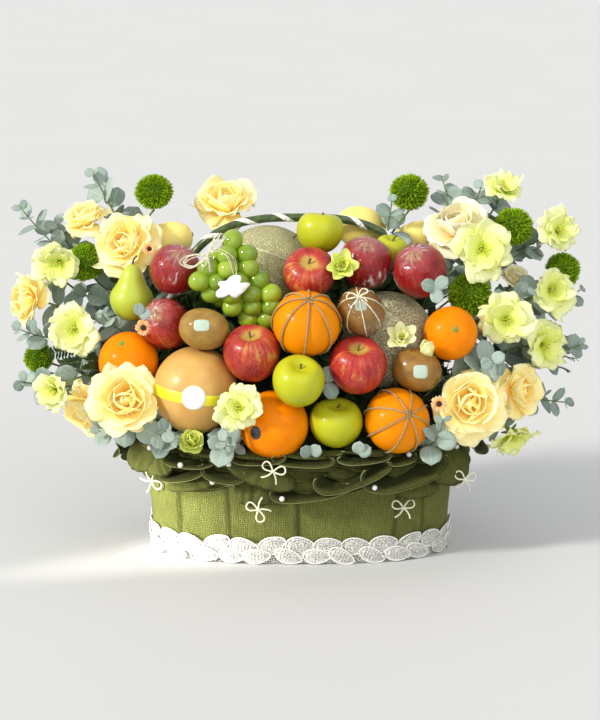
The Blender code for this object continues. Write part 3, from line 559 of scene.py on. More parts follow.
class Weave(Effect):
    """A plain weave with uneven threads, read from metres along and up the cloth."""

    title = "Weave"
    numbers = {"Threads": 900.0}

    def wire(self, w: Wiring, given: dict) -> dict[str, Socket]:
        """Two crossed rows of threads that pass over each other in turn.

        Args:
            w: the wiring of the group.
            given: the group's inputs, by name.

        Returns:
            The results, by name.
        """
        x, y, _ = w.parts(given["Vector"])
        slub = w.noise(given["Vector"], 70.0, 2.0)
        shift = w.sum("MULTIPLY", slub, 2.2)
        along = w.sum("MULTIPLY_ADD", x, given["Threads"], shift)
        up = w.sum("MULTIPLY_ADD", y, given["Threads"], shift)
        a = w.sum("SINE", w.sum("MULTIPLY", along, math.pi))
        b = w.sum("SINE", w.sum("MULTIPLY", up, math.pi))
        over = w.fade(w.sum("MULTIPLY", a, b), -0.15, 0.15)
        warp = w.sum("ABSOLUTE", a)
        weft = w.sum("ABSOLUTE", b)
        under = w.sum("MULTIPLY", weft, w.sum("SUBTRACT", 1.0, over))
        height = w.sum("ADD", w.sum("MULTIPLY", warp, over), under)
        # High on the threads and low in the gaps between them, where the cloth paints shade.
        gap = w.sum("MULTIPLY", warp, weft)
        streak = w.noise(w.vector(w.sum("MULTIPLY", x, 900.0), w.sum("MULTIPLY", y, 60.0), 0.0), 1.0, 2.0)
        return {"Height": height, "Gap": gap, "Slub": streak}


class Streaks(Effect):
    """Streaks that run from pole to pole of a fruit, read from its skin values."""

    title = "Streaks"
    numbers = {"Scale": 9.0, "Stretch": 0.7}

    def wire(self, w: Wiring, given: dict) -> dict[str, Socket]:
        """Noise that is stretched along the meridians.

        Args:
            w: the wiring of the group.
            given: the group's inputs, by name.

        Returns:
            The results, by name.
        """
        x, y, z = w.parts(given["Vector"])
        flat = w.vector(x, y, 0.0)
        ring = w.add("ShaderNodeVectorMath", {0: flat}, operation="NORMALIZE").outputs[0]
        cx, cy, _ = w.parts(ring)
        turned = w.vector(cx, cy, w.sum("MULTIPLY", z, w.sum("DIVIDE", given["Stretch"], 9.0)))
        return {"Value": w.noise(turned, given["Scale"], 4.0)}


class Veins(Effect):
    """Fine lines that fan out along a petal or leaf, read from its skin values."""

    title = "Veins"
    numbers = {"Count": 14.0}

    def wire(self, w: Wiring, given: dict) -> dict[str, Socket]:
        """Lines across, wavered by noise.

        Args:
            w: the wiring of the group.
            given: the group's inputs, by name.

        Returns:
            The results, by name.
        """
        across, along, tone = w.parts(given["Vector"])
        waver = w.noise(w.vector(across, w.sum("MULTIPLY", along, 2.0), tone), 4.0, 3.0)
        turned = w.sum("MULTIPLY_ADD", waver, 2.5, w.sum("MULTIPLY", across, given["Count"]))
        return {"Height": w.sum("MULTIPLY_ADD", w.sum("SINE", turned), 0.5, 0.5)}


@dataclass(frozen=True)
class Finish:
    """A finish: a Principled material, made once for each name."""

    name: str

    def shade(self, w: Wiring) -> dict:
        """What goes into the Principled shader's inputs, by name."""
        raise NotImplementedError

    def material(self) -> bpy.types.Material:
        """The material, made on first use.

        Returns:
            The material.
        """
        title = f"{self.name} finish"
        made = bpy.data.materials.get(title)
        if made is not None:
            return made
        made = bpy.data.materials.new(title)
        made.use_nodes = True
        w = Wiring(made.node_tree)
        shader = made.node_tree.nodes["Principled BSDF"]
        for name, value in self.shade(w).items():
            socket = shader.inputs[name]
            if isinstance(value, Socket):
                w.tree.links.new(value, socket)
            else:
                socket.default_value = (*value, 1) if name == "Base Color" else value
        return made

    @staticmethod
    def bump(w: Wiring, height: Socket, depth: float) -> Socket:
        """A normal bent by a height of this depth in metres."""
        return w.add("ShaderNodeBump", {"Height": height, "Distance": depth, "Strength": 1.0}).outputs[0]


@dataclass(frozen=True)
class AppleSkin(Finish):
    """A red apple: streaked blush over a yellow ground that stays clear in the hollows."""

    ground: Triple
    streak: Triple
    blush: Triple
    cover: float
    patch: float = 0.0

    def shade(self, w: Wiring) -> dict:
        """Streaks and patches of blush, pale dots, and a waxed coat.

        Args:
            w: the wiring of the material.

        Returns:
            What goes into the Principled shader's inputs, by name.
        """
        skin = w.skin()
        x, y, up = w.parts(skin)
        streaks = Streaks().place(w, skin, scale=9.0, stretch=1.2)["Value"]
        fine = Streaks().place(w, skin, scale=30.0, stretch=3.0)["Value"]
        mottle = Mottle().place(w, skin, scale=1.1, low=0.30, high=0.70)["Value"]
        level = w.sum("MULTIPLY_ADD", streaks, 0.6, w.sum("MULTIPLY", mottle, self.patch))
        level = w.sum("MULTIPLY_ADD", fine, 0.8, w.sum("ADD", level, self.cover))
        out = w.add("ShaderNodeVectorMath", {0: w.vector(x, y, 0.0)}, operation="LENGTH").outputs["Value"]
        hollow = w.sum("MULTIPLY", w.fade(out, 0.50, 0.06), w.fade(up, -0.2, 0.3))
        foot = w.sum("MULTIPLY", w.fade(out, 0.50, 0.10), w.fade(up, 0.2, -0.3))
        level = w.sum("SUBTRACT", level, w.sum("MULTIPLY_ADD", hollow, 0.62, w.sum("MULTIPLY", foot, 0.6)))
        redness = w.fade(level, 0.60, 0.92)
        deep = w.fade(level, 0.82, 1.25)
        red = w.mix(deep, self.streak, self.blush)
        colour = w.mix(redness, self.ground, red)
        dots = Pores().place(w, skin, scale=26.0, size=0.16)["Pit"]
        colour = w.mix(w.sum("MULTIPLY", dots, 0.30), colour, self.ground)
        return {
            "Base Color": colour,
            "Roughness": 0.34,
            "Specular IOR Level": 0.3,
            "Coat Weight": 0.30,
            "Coat Roughness": 0.10,
            "Subsurface Weight": 0.05,
            "Subsurface Radius": (0.004, 0.002, 0.001),
            "Normal": self.bump(w, w.noise(skin, 60.0), 0.0001),
        }


@dataclass(frozen=True)
class PlainSkin(Finish):
    """The skin of a pear, green apple or yellow fruit: two colours in soft patches, with small dots."""

    main: Triple
    other: Triple
    dot: Triple
    roughness: float = 0.35
    coat: float = 0.2
    lines: float = 0.0

    def shade(self, w: Wiring) -> dict:
        """Patches, dots, and fine corky lines where it has them.

        Args:
            w: the wiring of the material.

        Returns:
            What goes into the Principled shader's inputs, by name.
        """
        skin = w.skin()
        _, _, up = w.parts(skin)
        patches = Mottle().place(w, skin, scale=1.5, low=0.25, high=0.75)["Value"]
        share = w.sum("MULTIPLY_ADD", w.fade(up, -0.9, 0.9), 0.5, w.sum("MULTIPLY", patches, 0.5))
        colour = w.mix(share, self.main, self.other)
        dots = Pores().place(w, skin, scale=22.0, size=0.15)["Pit"]
        colour = w.mix(w.sum("MULTIPLY", dots, 0.35), colour, self.dot)
        height = w.noise(skin, 40.0)
        if self.lines:
            cord = Net().place(w, skin, scale=7.0, width=0.10, bend=0.9)["Cord"]
            colour = w.mix(w.sum("MULTIPLY", cord, self.lines), colour, self.dot)
            height = w.sum("ADD", height, cord)
        return {
            "Base Color": colour,
            "Roughness": self.roughness,
            "Specular IOR Level": 0.25,
            "Coat Weight": self.coat,
            "Coat Roughness": 0.15,
            "Subsurface Weight": 0.06,
            "Subsurface Radius": (0.004, 0.003, 0.001),
            "Normal": self.bump(w, height, 0.00015),
        }


@dataclass(frozen=True)
class CitrusPeel(Finish):
    """Orange peel with pores."""

    main: Triple
    other: Triple

    def shade(self, w: Wiring) -> dict:
        """Pores, and a paler patch here and there.

        Args:
            w: the wiring of the material.

        Returns:
            What goes into the Principled shader's inputs, by name.
        """
        skin = w.skin()
        patches = Mottle().place(w, skin, scale=1.3, low=0.3, high=0.7)["Value"]
        pores = Pores().place(w, skin, scale=21.0, size=0.42)
        colour = w.mix(w.sum("MULTIPLY", patches, 0.6), self.main, self.other)
        colour = w.mix(w.sum("MULTIPLY", pores["Pit"], 0.35), colour, self.other)
        return {
            "Base Color": colour,
            "Roughness": 0.40,
            "Specular IOR Level": 0.06,
            "Coat Weight": 0.10,
            "Coat Roughness": 0.16,
            "Subsurface Weight": 0.05,
            "Subsurface Radius": (0.004, 0.002, 0.001),
            "Normal": self.bump(w, pores["Height"], 0.00022),
        }


@dataclass(frozen=True)
class FuzzySkin(Finish):
    """Kiwi skin: brown, mottled and covered in short fuzz, or rubbed shiny."""

    main: Triple
    other: Triple
    roughness: float
    coat: float

    def shade(self, w: Wiring) -> dict:
        """Mottling and fuzz that lies along the fruit.

        Args:
            w: the wiring of the material.

        Returns:
            What goes into the Principled shader's inputs, by name.
        """
        skin = w.skin()
        patches = Mottle().place(w, skin, scale=2.2, low=0.3, high=0.7)["Value"]
        fuzz = Streaks().place(w, skin, scale=42.0, stretch=22.0)["Value"]
        colour = w.mix(patches, self.main, self.other)
        colour = w.mix(w.sum("MULTIPLY", w.fade(fuzz, 0.42, 0.62), 0.45), colour, self.other)
        return {
            "Base Color": colour,
            "Roughness": self.roughness,
            "Coat Weight": self.coat,
            "Coat Roughness": 0.16,
            "Specular IOR Level": 0.25,
            "Normal": self.bump(w, fuzz, 0.00035),
        }


@dataclass(frozen=True)
class NettedRind(Finish):
    """A melon's rind under a corky net."""

    ground: Triple
    ground_two: Triple
    cord: Triple
    scale: float

    def shade(self, w: Wiring) -> dict:
        """Coarse and fine net cords over mottled ground.

        Args:
            w: the wiring of the material.

        Returns:
            What goes into the Principled shader's inputs, by name.
        """
        skin = w.skin()
        patches = Mottle().place(w, skin, scale=1.8, low=0.3, high=0.7)["Value"]
        coarse = Net().place(w, skin, scale=self.scale, width=0.19, bend=1.1)["Cord"]
        fine = Net().place(w, skin, scale=self.scale * 1.5, width=0.15, bend=1.4)["Cord"]
        both = w.sum("MAXIMUM", coarse, w.sum("MULTIPLY", fine, 0.7))
        colour = w.mix(patches, self.ground, self.ground_two)
        colour = w.mix(w.sum("MULTIPLY", both, 0.9), colour, self.cord)
        return {
            "Base Color": colour,
            "Roughness": 0.62,
            "Specular IOR Level": 0.25,
            "Normal": self.bump(w, both, 0.0007),
        }


@dataclass(frozen=True)
class SmoothRind(Finish):
    """A smooth tan melon rind that greens towards its foot."""

    main: Triple
    other: Triple
    foot: Triple

    def shade(self, w: Wiring) -> dict:
        """Soft cloudy patches and a green foot.

        Args:
            w: the wiring of the material.

        Returns:
            What goes into the Principled shader's inputs, by name.
        """
        skin = w.skin()
        _, _, up = w.parts(skin)
        patches = Mottle().place(w, skin, scale=2.4, low=0.3, high=0.7)["Value"]
        colour = w.mix(patches, self.main, self.other)
        low = w.sum("MULTIPLY_ADD", patches, 0.25, up)
        colour = w.mix(w.fade(low, -0.45, -0.95), colour, self.foot)
        return {
            "Base Color": colour,
            "Roughness": 0.40,
            "Specular IOR Level": 0.25,
            "Coat Weight": 0.20,
            "Coat Roughness": 0.20,
            "Normal": self.bump(w, w.noise(skin, 26.0), 0.0003),
        }


@dataclass(frozen=True)
class GrapeSkin(Finish):
    """Translucent green grape skin with a dusty bloom."""

    main: Triple
    other: Triple

    def shade(self, w: Wiring) -> dict:
        """Two greens by grape, dust, and light that passes into the flesh.

        Args:
            w: the wiring of the material.

        Returns:
            What goes into the Principled shader's inputs, by name.
        """
        skin = w.skin()
        _, _, tone = w.parts(skin)
        dust = Mottle().place(w, w.place(), scale=90.0, low=0.35, high=0.75)["Value"]
        colour = w.mix(tone, self.main, self.other)
        colour = w.mix(w.sum("MULTIPLY", dust, 0.06), colour, (0.62, 0.68, 0.35))
        return {
            "Base Color": colour,
            "Roughness": w.sum("MULTIPLY_ADD", dust, 0.14, 0.12),
            "Specular IOR Level": 0.4,
            "Coat Weight": 0.4,
            "Coat Roughness": 0.06,
            "Subsurface Weight": 0.25,
            "Subsurface Radius": (0.005, 0.006, 0.001),
        }


@dataclass(frozen=True)
class PetalSkin(Finish):
    """A petal: its heart, its middle and its rim in three colours, with fine veins."""

    heart: Triple
    body: Triple
    rim: Triple
    veins: float = 16.0
    heart_end: float = 0.55
    depth: float = 0.00018
    glow: float = 0.04

    def shade(self, w: Wiring) -> dict:
        """The colour fades from heart to rim, light passes into the petals, and they glow faintly in their
        own colours, a painted light that lifts their shade.

        Args:
            w: the wiring of the material.

        Returns:
            What goes into the Principled shader's inputs, by name.
        """
        skin = w.skin()
        _, along, tone = w.parts(skin)
        vein = Veins().place(w, skin, count=self.veins)["Height"]
        soft = Mottle().place(w, w.place(), scale=60.0, low=0.2, high=0.8)["Value"]
        reach = w.sum("MULTIPLY_ADD", soft, 0.18, along)
        reach = w.sum("MULTIPLY_ADD", tone, 0.46, w.sum("SUBTRACT", reach, 0.16))
        colour = w.mix(w.fade(reach, 0.08, self.heart_end + 0.16), self.heart, self.body)
        colour = w.mix(w.sum("MULTIPLY", w.fade(reach, 0.72, 1.22), 0.85), colour, self.rim)
        colour = w.mix(w.sum("MULTIPLY", vein, 0.10), colour, self.heart)
        return {
            "Base Color": colour,
            # Painted light: the petals glow a little in their heart and body colours.
            "Emission Color": w.mix(w.fade(reach, 0.0, 0.80), self.heart, self.body),
            "Emission Strength": self.glow,
            "Roughness": 0.62,
            "Subsurface Weight": 0.35,
            "Subsurface Radius": (0.005, 0.004, 0.002),
            "Specular IOR Level": 0.15,
            "Normal": self.bump(w, vein, self.depth),
        }


@dataclass(frozen=True)
class LeafSkin(Finish):
    """A leaf with a pale midrib and side veins."""

    main: Triple
    other: Triple
    rib: Triple
    roughness: float = 0.62

    def shade(self, w: Wiring) -> dict:
        """Tone by leaf, soft patches, ribs, and a pale bloom.

        Args:
            w: the wiring of the material.

        Returns:
            What goes into the Principled shader's inputs, by name.
        """
        skin = w.skin()
        across, along, tone = w.parts(skin)
        patches = Mottle().place(w, w.place(), scale=70.0, low=0.25, high=0.75)["Value"]
        share = w.sum("MULTIPLY_ADD", patches, 0.35, w.sum("MULTIPLY", tone, 0.65))
        colour = w.mix(share, self.main, self.other)
        away = w.sum("ABSOLUTE", across)
        rib = w.fade(away, 0.09, 0.02)
        side = w.sum("SINE", w.sum("MULTIPLY", w.sum("SUBTRACT", along, w.sum("MULTIPLY", away, 0.35)), 46.0))
        ribs = w.sum("MAXIMUM", rib, w.sum("MULTIPLY", w.fade(side, 0.86, 1.0), 0.35))
        colour = w.mix(w.sum("MULTIPLY", ribs, 0.55), colour, self.rib)
        return {
            "Base Color": colour,
            "Roughness": self.roughness,
            "Specular IOR Level": 0.3,
            "Normal": self.bump(w, ribs, 0.00025),
        }


@dataclass(frozen=True)
class SpikeSkin(Finish):
    """The fine green needles of a pompon, dark at their roots."""

    root: Triple
    tip: Triple

    def shade(self, w: Wiring) -> dict:
        """Colour along each needle, with its own tone.

        Args:
            w: the wiring of the material.

        Returns:
            What goes into the Principled shader's inputs, by name.
        """
        _, along, tone = w.parts(w.skin())
        colour = w.mix(w.fade(w.sum("MULTIPLY_ADD", tone, 0.35, along), 0.35, 1.25), self.root, self.tip)
        return {"Base Color": colour, "Roughness": 0.55, "Specular IOR Level": 0.2}


@dataclass(frozen=True)
class WovenCloth(Finish):
    """Coarse olive cloth, read from metres along and up it."""

    main: Triple
    thread: Triple
    rim_pale: Triple

    def shade(self, w: Wiring) -> dict:
        """Weave, slubs, paler threads along the folds' edges, and painted shade between the threads and deep
        in the folds, where the skin's tone is low.

        Args:
            w: the wiring of the material.

        Returns:
            What goes into the Principled shader's inputs, by name.
        """
        skin = w.skin()
        _, _, edge = w.parts(skin)
        weave = Weave().place(w, skin, threads=400.0)
        patches = Mottle().place(w, w.place(), scale=22.0, low=0.3, high=0.7)["Value"]
        slubs = w.sum("MULTIPLY", w.fade(weave["Slub"], 0.35, 0.70), 0.55)
        share = w.sum("MULTIPLY_ADD", patches, 0.45, slubs)
        colour = w.mix(share, self.main, self.thread)
        # Painted shade in the gaps between the threads.
        colour = w.mix(w.sum("MULTIPLY", w.fade(weave["Gap"], 0.5, 0.0), 0.6), colour, (0.018, 0.022, 0.006))
        # Painted shade where the skin's tone is low: deep in the collar's hollow loops, at the top of its
        # tiers and over the board.
        colour = w.mix(w.sum("MULTIPLY", w.fade(edge, 0.45, 0.05), 0.75), colour, (0.022, 0.026, 0.006))
        # A paler colour along the folds' rims and the pleats' lips.
        colour = w.mix(w.sum("MULTIPLY", w.fade(edge, 0.90, 0.99), 0.8), colour, self.rim_pale)
        return {
            "Base Color": colour,
            "Roughness": 0.88,
            "Specular IOR Level": 0.15,
            "Normal": self.bump(w, weave["Height"], 0.0010),
        }


@dataclass(frozen=True)
class SatinRibbon(Finish):
    """Satin ribbon wound in fine turns, read from round and along it."""

    main: Triple
    painted_glint: Triple
    roughness: float = 0.28
    turns: float = 260.0

    def shade(self, w: Wiring) -> dict:
        """Fine slanted ridges with a painted sheen along them, and a painted glint here and there.

        Args:
            w: the wiring of the material.

        Returns:
            What goes into the Principled shader's inputs, by name.
        """
        around, along, _ = w.parts(w.skin())
        ridge = w.sum("SINE", w.sum("MULTIPLY_ADD", along, self.turns, w.sum("MULTIPLY", around, TURN)))
        spot = Mottle().place(w, w.place(), scale=220.0, low=0.50, high=0.66)["Value"]
        # Painted sheen: the ridges are lightened towards the glint colour.
        share = w.sum("MULTIPLY", w.fade(ridge, 0.2, 1.0), 0.35)
        colour = w.mix(share, self.main, self.painted_glint)
        # Painted glints in scattered spots.
        colour = w.mix(w.sum("MULTIPLY", spot, 0.25), colour, self.painted_glint)
        return {
            "Base Color": colour,
            "Roughness": self.roughness,
            "Sheen Weight": 0.3,
            "Normal": self.bump(w, ridge, 0.00025),
        }


@dataclass(frozen=True)
class Thread(Finish):
    """Cord, twine, raffia, stems and lace thread: strands along them, with uneven colour."""

    main: Triple
    other: Triple
    twist: float = 900.0
    depth: float = 0.00018
    roughness: float = 0.7

    def shade(self, w: Wiring) -> dict:
        """Twisted strands and patches.

        Args:
            w: the wiring of the material.

        Returns:
            What goes into the Principled shader's inputs, by name.
        """
        around, along, tone = w.parts(w.skin())
        strand = w.sum("SINE", w.sum("MULTIPLY_ADD", along, self.twist, w.sum("MULTIPLY", around, 3 * TURN)))
        patches = Mottle().place(w, w.place(), scale=160.0, low=0.3, high=0.7)["Value"]
        share = w.sum("MULTIPLY_ADD", patches, 0.6, w.sum("MULTIPLY", tone, 0.4))
        colour = w.mix(share, self.main, self.other)
        return {
            "Base Color": colour,
            "Roughness": self.roughness,
            "Normal": self.bump(w, strand, self.depth),
        }


@dataclass(frozen=True)
class Gauze(Finish):
    """The fine net inside the lace, open between its threads."""

    main: Triple

    def shade(self, w: Wiring) -> dict:
        """Threads where the net's cords are, and nothing between them.

        Args:
            w: the wiring of the material.

        Returns:
            What goes into the Principled shader's inputs, by name.
        """
        cord = Net().place(w, w.skin(), scale=420.0, width=0.26, bend=0.3)["Cord"]
        return {
            "Base Color": self.main,
            "Roughness": 0.8,
            "Alpha": w.fade(cord, 0.35, 0.85),
            "Normal": self.bump(w, cord, 0.0003),
        }


@dataclass(frozen=True)
class Film(Finish):
    """Thin clear film in the colour of the fruit in it, with painted glints on its folds and a painted pale
    reflection round the top.
    """

    main: Triple
    painted_glint_colour: Triple

    def shade(self, w: Wiring) -> dict:
        """Gloss over small creases, painted glints on folds in patches and round the top, and a painted pale
        reflection round the top.

        Args:
            w: the wiring of the material.

        Returns:
            What goes into the Principled shader's inputs, by name.
        """
        skin = w.skin()
        _, _, up = w.parts(skin)
        crease = Net().place(w, skin, scale=2.4, width=0.04, bend=1.8)["Cord"]
        height = w.sum("ADD", w.noise(skin, 5.0), w.sum("MULTIPLY", crease, 0.5))
        folds = Streaks().place(w, skin, scale=4.5, stretch=4.0)["Value"]
        patch = Mottle().place(w, w.place(), scale=22.0, low=0.55, high=0.64)["Value"]
        # Where the painted glints go: scattered patches and the top.
        where = w.sum("MAXIMUM", patch, w.sum("MULTIPLY", w.fade(up, 0.60, 0.98), 0.7))
        painted_glint = w.sum("MULTIPLY", w.fade(folds, 0.47, 0.62), where)
        # A painted pale reflection round the top.
        painted_glint = w.sum("MAXIMUM", painted_glint, w.sum("MULTIPLY", w.fade(up, 0.55, 0.98), 0.28))
        return {
            "Base Color": w.mix(painted_glint, self.main, self.painted_glint_colour),
            "Roughness": 0.12,
            "Specular IOR Level": 0.5,
            "Coat Weight": 0.8,
            "Coat Roughness": 0.05,
            # The painted glints are nearly opaque, so they show as white highlights.
            "Alpha": w.sum("MULTIPLY_ADD", painted_glint, 0.48, 0.22),
            "Normal": self.bump(w, height, 0.0034),
        }


@dataclass(frozen=True)
class Smooth(Finish):
    """Pearl, paper, plastic label, seed head, packing or floor: a near even colour with fine grain."""

    main: Triple
    other: Triple
    roughness: float = 0.4
    coat: float = 0.0
    grain: float = 0.00008
    scale: float = 300.0

    def shade(self, w: Wiring) -> dict:
        """Fine grain in colour and relief.

        Args:
            w: the wiring of the material.

        Returns:
            What goes into the Principled shader's inputs, by name.
        """
        place = w.place()
        patches = Mottle().place(w, place, scale=self.scale, low=0.3, high=0.7)["Value"]
        return {
            "Base Color": w.mix(patches, self.main, self.other),
            "Roughness": self.roughness,
            "Coat Weight": self.coat,
            "Coat Roughness": 0.08,
            "Normal": self.bump(w, patches, self.grain),
        }


class Palette:
    """The finishes of the basket. Each is made when a piece first asks for it."""

    red_streaked = AppleSkin(
        "apple_streaked", (0.50, 0.32, 0.06), (0.48, 0.042, 0.026), (0.22, 0.006, 0.010), 0.05, 0.42
    )
    red_dark = AppleSkin(
        "apple_dark", (0.48, 0.26, 0.05), (0.38, 0.018, 0.018), (0.13, 0.004, 0.008), 0.22, 0.20
    )
    red_bright = AppleSkin(
        "apple_bright", (0.50, 0.32, 0.06), (0.50, 0.038, 0.028), (0.26, 0.008, 0.012), 0.14, 0.32
    )
    green_apple = PlainSkin("apple_green", (0.40, 0.43, 0.006), (0.52, 0.53, 0.016), (0.75, 0.76, 0.30))
    pear = PlainSkin("pear", (0.40, 0.49, 0.030), (0.52, 0.58, 0.070), (0.28, 0.28, 0.05), 0.40)
    yellow_fruit = PlainSkin("mango", (1.0, 0.75, 0.17), (1.0, 0.83, 0.27), (0.72, 0.42, 0.06), 0.42)
    orange = CitrusPeel("orange", (0.90, 0.215, 0.000), (0.96, 0.31, 0.002))
    orange_tied = CitrusPeel("orange_tied", (0.80, 0.22, 0.000), (0.86, 0.31, 0.002))
    kiwi = FuzzySkin("kiwi", (0.23, 0.125, 0.022), (0.42, 0.25, 0.055), 0.50, 0.15)
    kiwi_shiny = FuzzySkin("kiwi_shiny", (0.20, 0.086, 0.012), (0.36, 0.185, 0.034), 0.35, 0.4)
    netted = NettedRind("melon_netted", (0.29, 0.28, 0.10), (0.40, 0.37, 0.15), (0.66, 0.62, 0.36), 21.0)
    netted_green = NettedRind("melon_green", (0.23, 0.22, 0.08), (0.34, 0.33, 0.13), (0.98, 0.93, 0.62), 16.0)
    smooth = SmoothRind("melon_smooth", (0.60, 0.32, 0.075), (0.70, 0.42, 0.12), (0.38, 0.36, 0.07))
    grape = GrapeSkin("grape", (0.17, 0.28, 0.008), (0.33, 0.46, 0.020))
    rose = PetalSkin(
        "rose", (1.0, 0.56, 0.040), (0.94, 0.78, 0.27), (0.93, 0.87, 0.54), 16.0, 0.62, glow=0.11
    )
    rose_cream = PetalSkin("rose_cream", (0.95, 0.66, 0.18), (0.86, 0.80, 0.48), (0.88, 0.86, 0.70))
    lisianthus = PetalSkin(
        "lisianthus", (0.60, 0.74, 0.06), (0.80, 0.84, 0.25), (0.87, 0.89, 0.54), 22.0, 0.46, 0.0004
    )
    young = PetalSkin("young_petal", (0.36, 0.48, 0.03), (0.60, 0.68, 0.08), (0.78, 0.82, 0.24), 18.0)
    pale = PetalSkin("pale_petal", (0.52, 0.58, 0.10), (0.80, 0.79, 0.34), (0.90, 0.88, 0.52), 18.0)
    peach = PetalSkin("peach_petal", (0.80, 0.34, 0.10), (0.93, 0.52, 0.22), (0.95, 0.66, 0.38), 10.0)
    spikes = SpikeSkin("dianthus", (0.10, 0.20, 0.003), (0.36, 0.56, 0.012))
    eucalyptus = LeafSkin("eucalyptus", (0.160, 0.225, 0.185), (0.41, 0.50, 0.43), (0.50, 0.58, 0.49))
    dark_leaf = LeafSkin("dark_leaf", (0.020, 0.050, 0.014), (0.070, 0.135, 0.036), (0.13, 0.20, 0.07), 0.5)
    sepal = LeafSkin("sepal", (0.14, 0.24, 0.03), (0.24, 0.34, 0.06), (0.30, 0.40, 0.12))
    stem = Thread("stem", (0.12, 0.17, 0.05), (0.24, 0.29, 0.11), 120.0)
    bark = Thread("stalk", (0.10, 0.055, 0.020), (0.22, 0.14, 0.05), 500.0)
    cloth = WovenCloth("olive_cloth", (0.145, 0.158, 0.032), (0.275, 0.294, 0.078), (0.46, 0.50, 0.22))
    # The same olive cloth made darker, as painted shade on the collar.
    collar_cloth = WovenCloth(
        "collar_cloth", (0.100, 0.110, 0.022), (0.190, 0.204, 0.052), (0.42, 0.46, 0.20)
    )
    satin = SatinRibbon("handle_ribbon", (0.035, 0.065, 0.010), (0.12, 0.18, 0.04))
    white_ribbon = SatinRibbon("white_ribbon", (0.78, 0.78, 0.70), (0.92, 0.92, 0.86), 0.35, 900.0)
    cord = Thread("cream_cord", (0.84, 0.80, 0.55), (0.93, 0.90, 0.70))
    twine = Thread("twine", (0.46, 0.30, 0.12), (0.62, 0.44, 0.20), 1500.0, 0.0005)
    lace_cord = Thread("lace_cord", (0.93, 0.92, 0.85), (0.98, 0.97, 0.92), 1400.0)
    lace_gauze = Gauze("lace_gauze", (0.95, 0.94, 0.87))
    film_red = Film("film_on_red", (0.50, 0.010, 0.006), (0.92, 0.80, 0.78))
    film_brown = Film("film_on_brown", (0.22, 0.110, 0.024), (0.80, 0.72, 0.62))
    pearl = Smooth("pearl", (0.88, 0.87, 0.84), (0.94, 0.93, 0.90), 0.18, 0.8, 0.00002)
    label = Smooth("label", (0.88, 0.88, 0.86), (0.92, 0.92, 0.90), 0.4)
    sticker = Smooth("sticker", (0.42, 0.54, 0.43), (0.50, 0.60, 0.48), 0.45)
    dark_sticker = Smooth("dark_sticker", (0.030, 0.028, 0.032), (0.045, 0.042, 0.045), 0.3, 0.3)
    band = Smooth("yellow_band", (0.86, 0.80, 0.015), (0.92, 0.87, 0.04), 0.35, 0.2)
    seeds = Smooth("seed_head", (0.012, 0.008, 0.008), (0.05, 0.028, 0.018), 0.8, 0.0, 0.0012, 900.0)
    yellow_seeds = Smooth("stamens", (0.72, 0.70, 0.06), (0.86, 0.82, 0.16), 0.6, 0.0, 0.0008, 900.0)
    floor = Smooth("floor", (0.615, 0.615, 0.61), (0.625, 0.625, 0.62), 0.7, 0.0, 0.0, 2.0)
    # The packing is real, but its near-black colour is also painted shade for the gaps between the fruits.
    shaded_packing = Smooth("packing", (0.012, 0.026, 0.008), (0.030, 0.055, 0.016), 0.9, 0.0, 0.004, 60.0)


class Form(Enum):
    """How a fruit's outline runs from its foot to its crown."""

    APPLE = "apple"
    BALL = "ball"
    PEAR = "pear"
    OVAL = "oval"
    LOBED = "lobed"

    def outline(self, a: np.ndarray) -> tuple[np.ndarray, np.ndarray]:
        """Distance from the axis and height, for angles from the foot.

        Args:
            a: the angles, in radians.

        Returns:
            The distances and the heights.
        """
        across, up = np.sin(a), -np.cos(a)
        if self is Form.APPLE:
            across = across * (1 - 0.09 * np.cos(a)) / 1.004
            up = up - 0.34 * np.exp(-(((math.pi - a) / 0.42) ** 2)) + 0.16 * np.exp(-((a / 0.38) ** 2))
        elif self is Form.PEAR:
            across = np.maximum(across, 0) ** 0.85 * (1 - 0.42 / (1 + np.exp(-7 * (up - 0.12))))
        elif self is Form.OVAL:
            across = np.maximum(across, 0) ** 0.88
        else:
            up = up - 0.05 * np.exp(-(((math.pi - a) / 0.3) ** 2))
        return across, up


class Rounded:
    """A fruit or head with a round girth, about an axis of its own."""

    def size(self) -> np.ndarray:
        """Its half size along its own three axes."""
        return np.array([self.radius, self.radius, self.half_height])


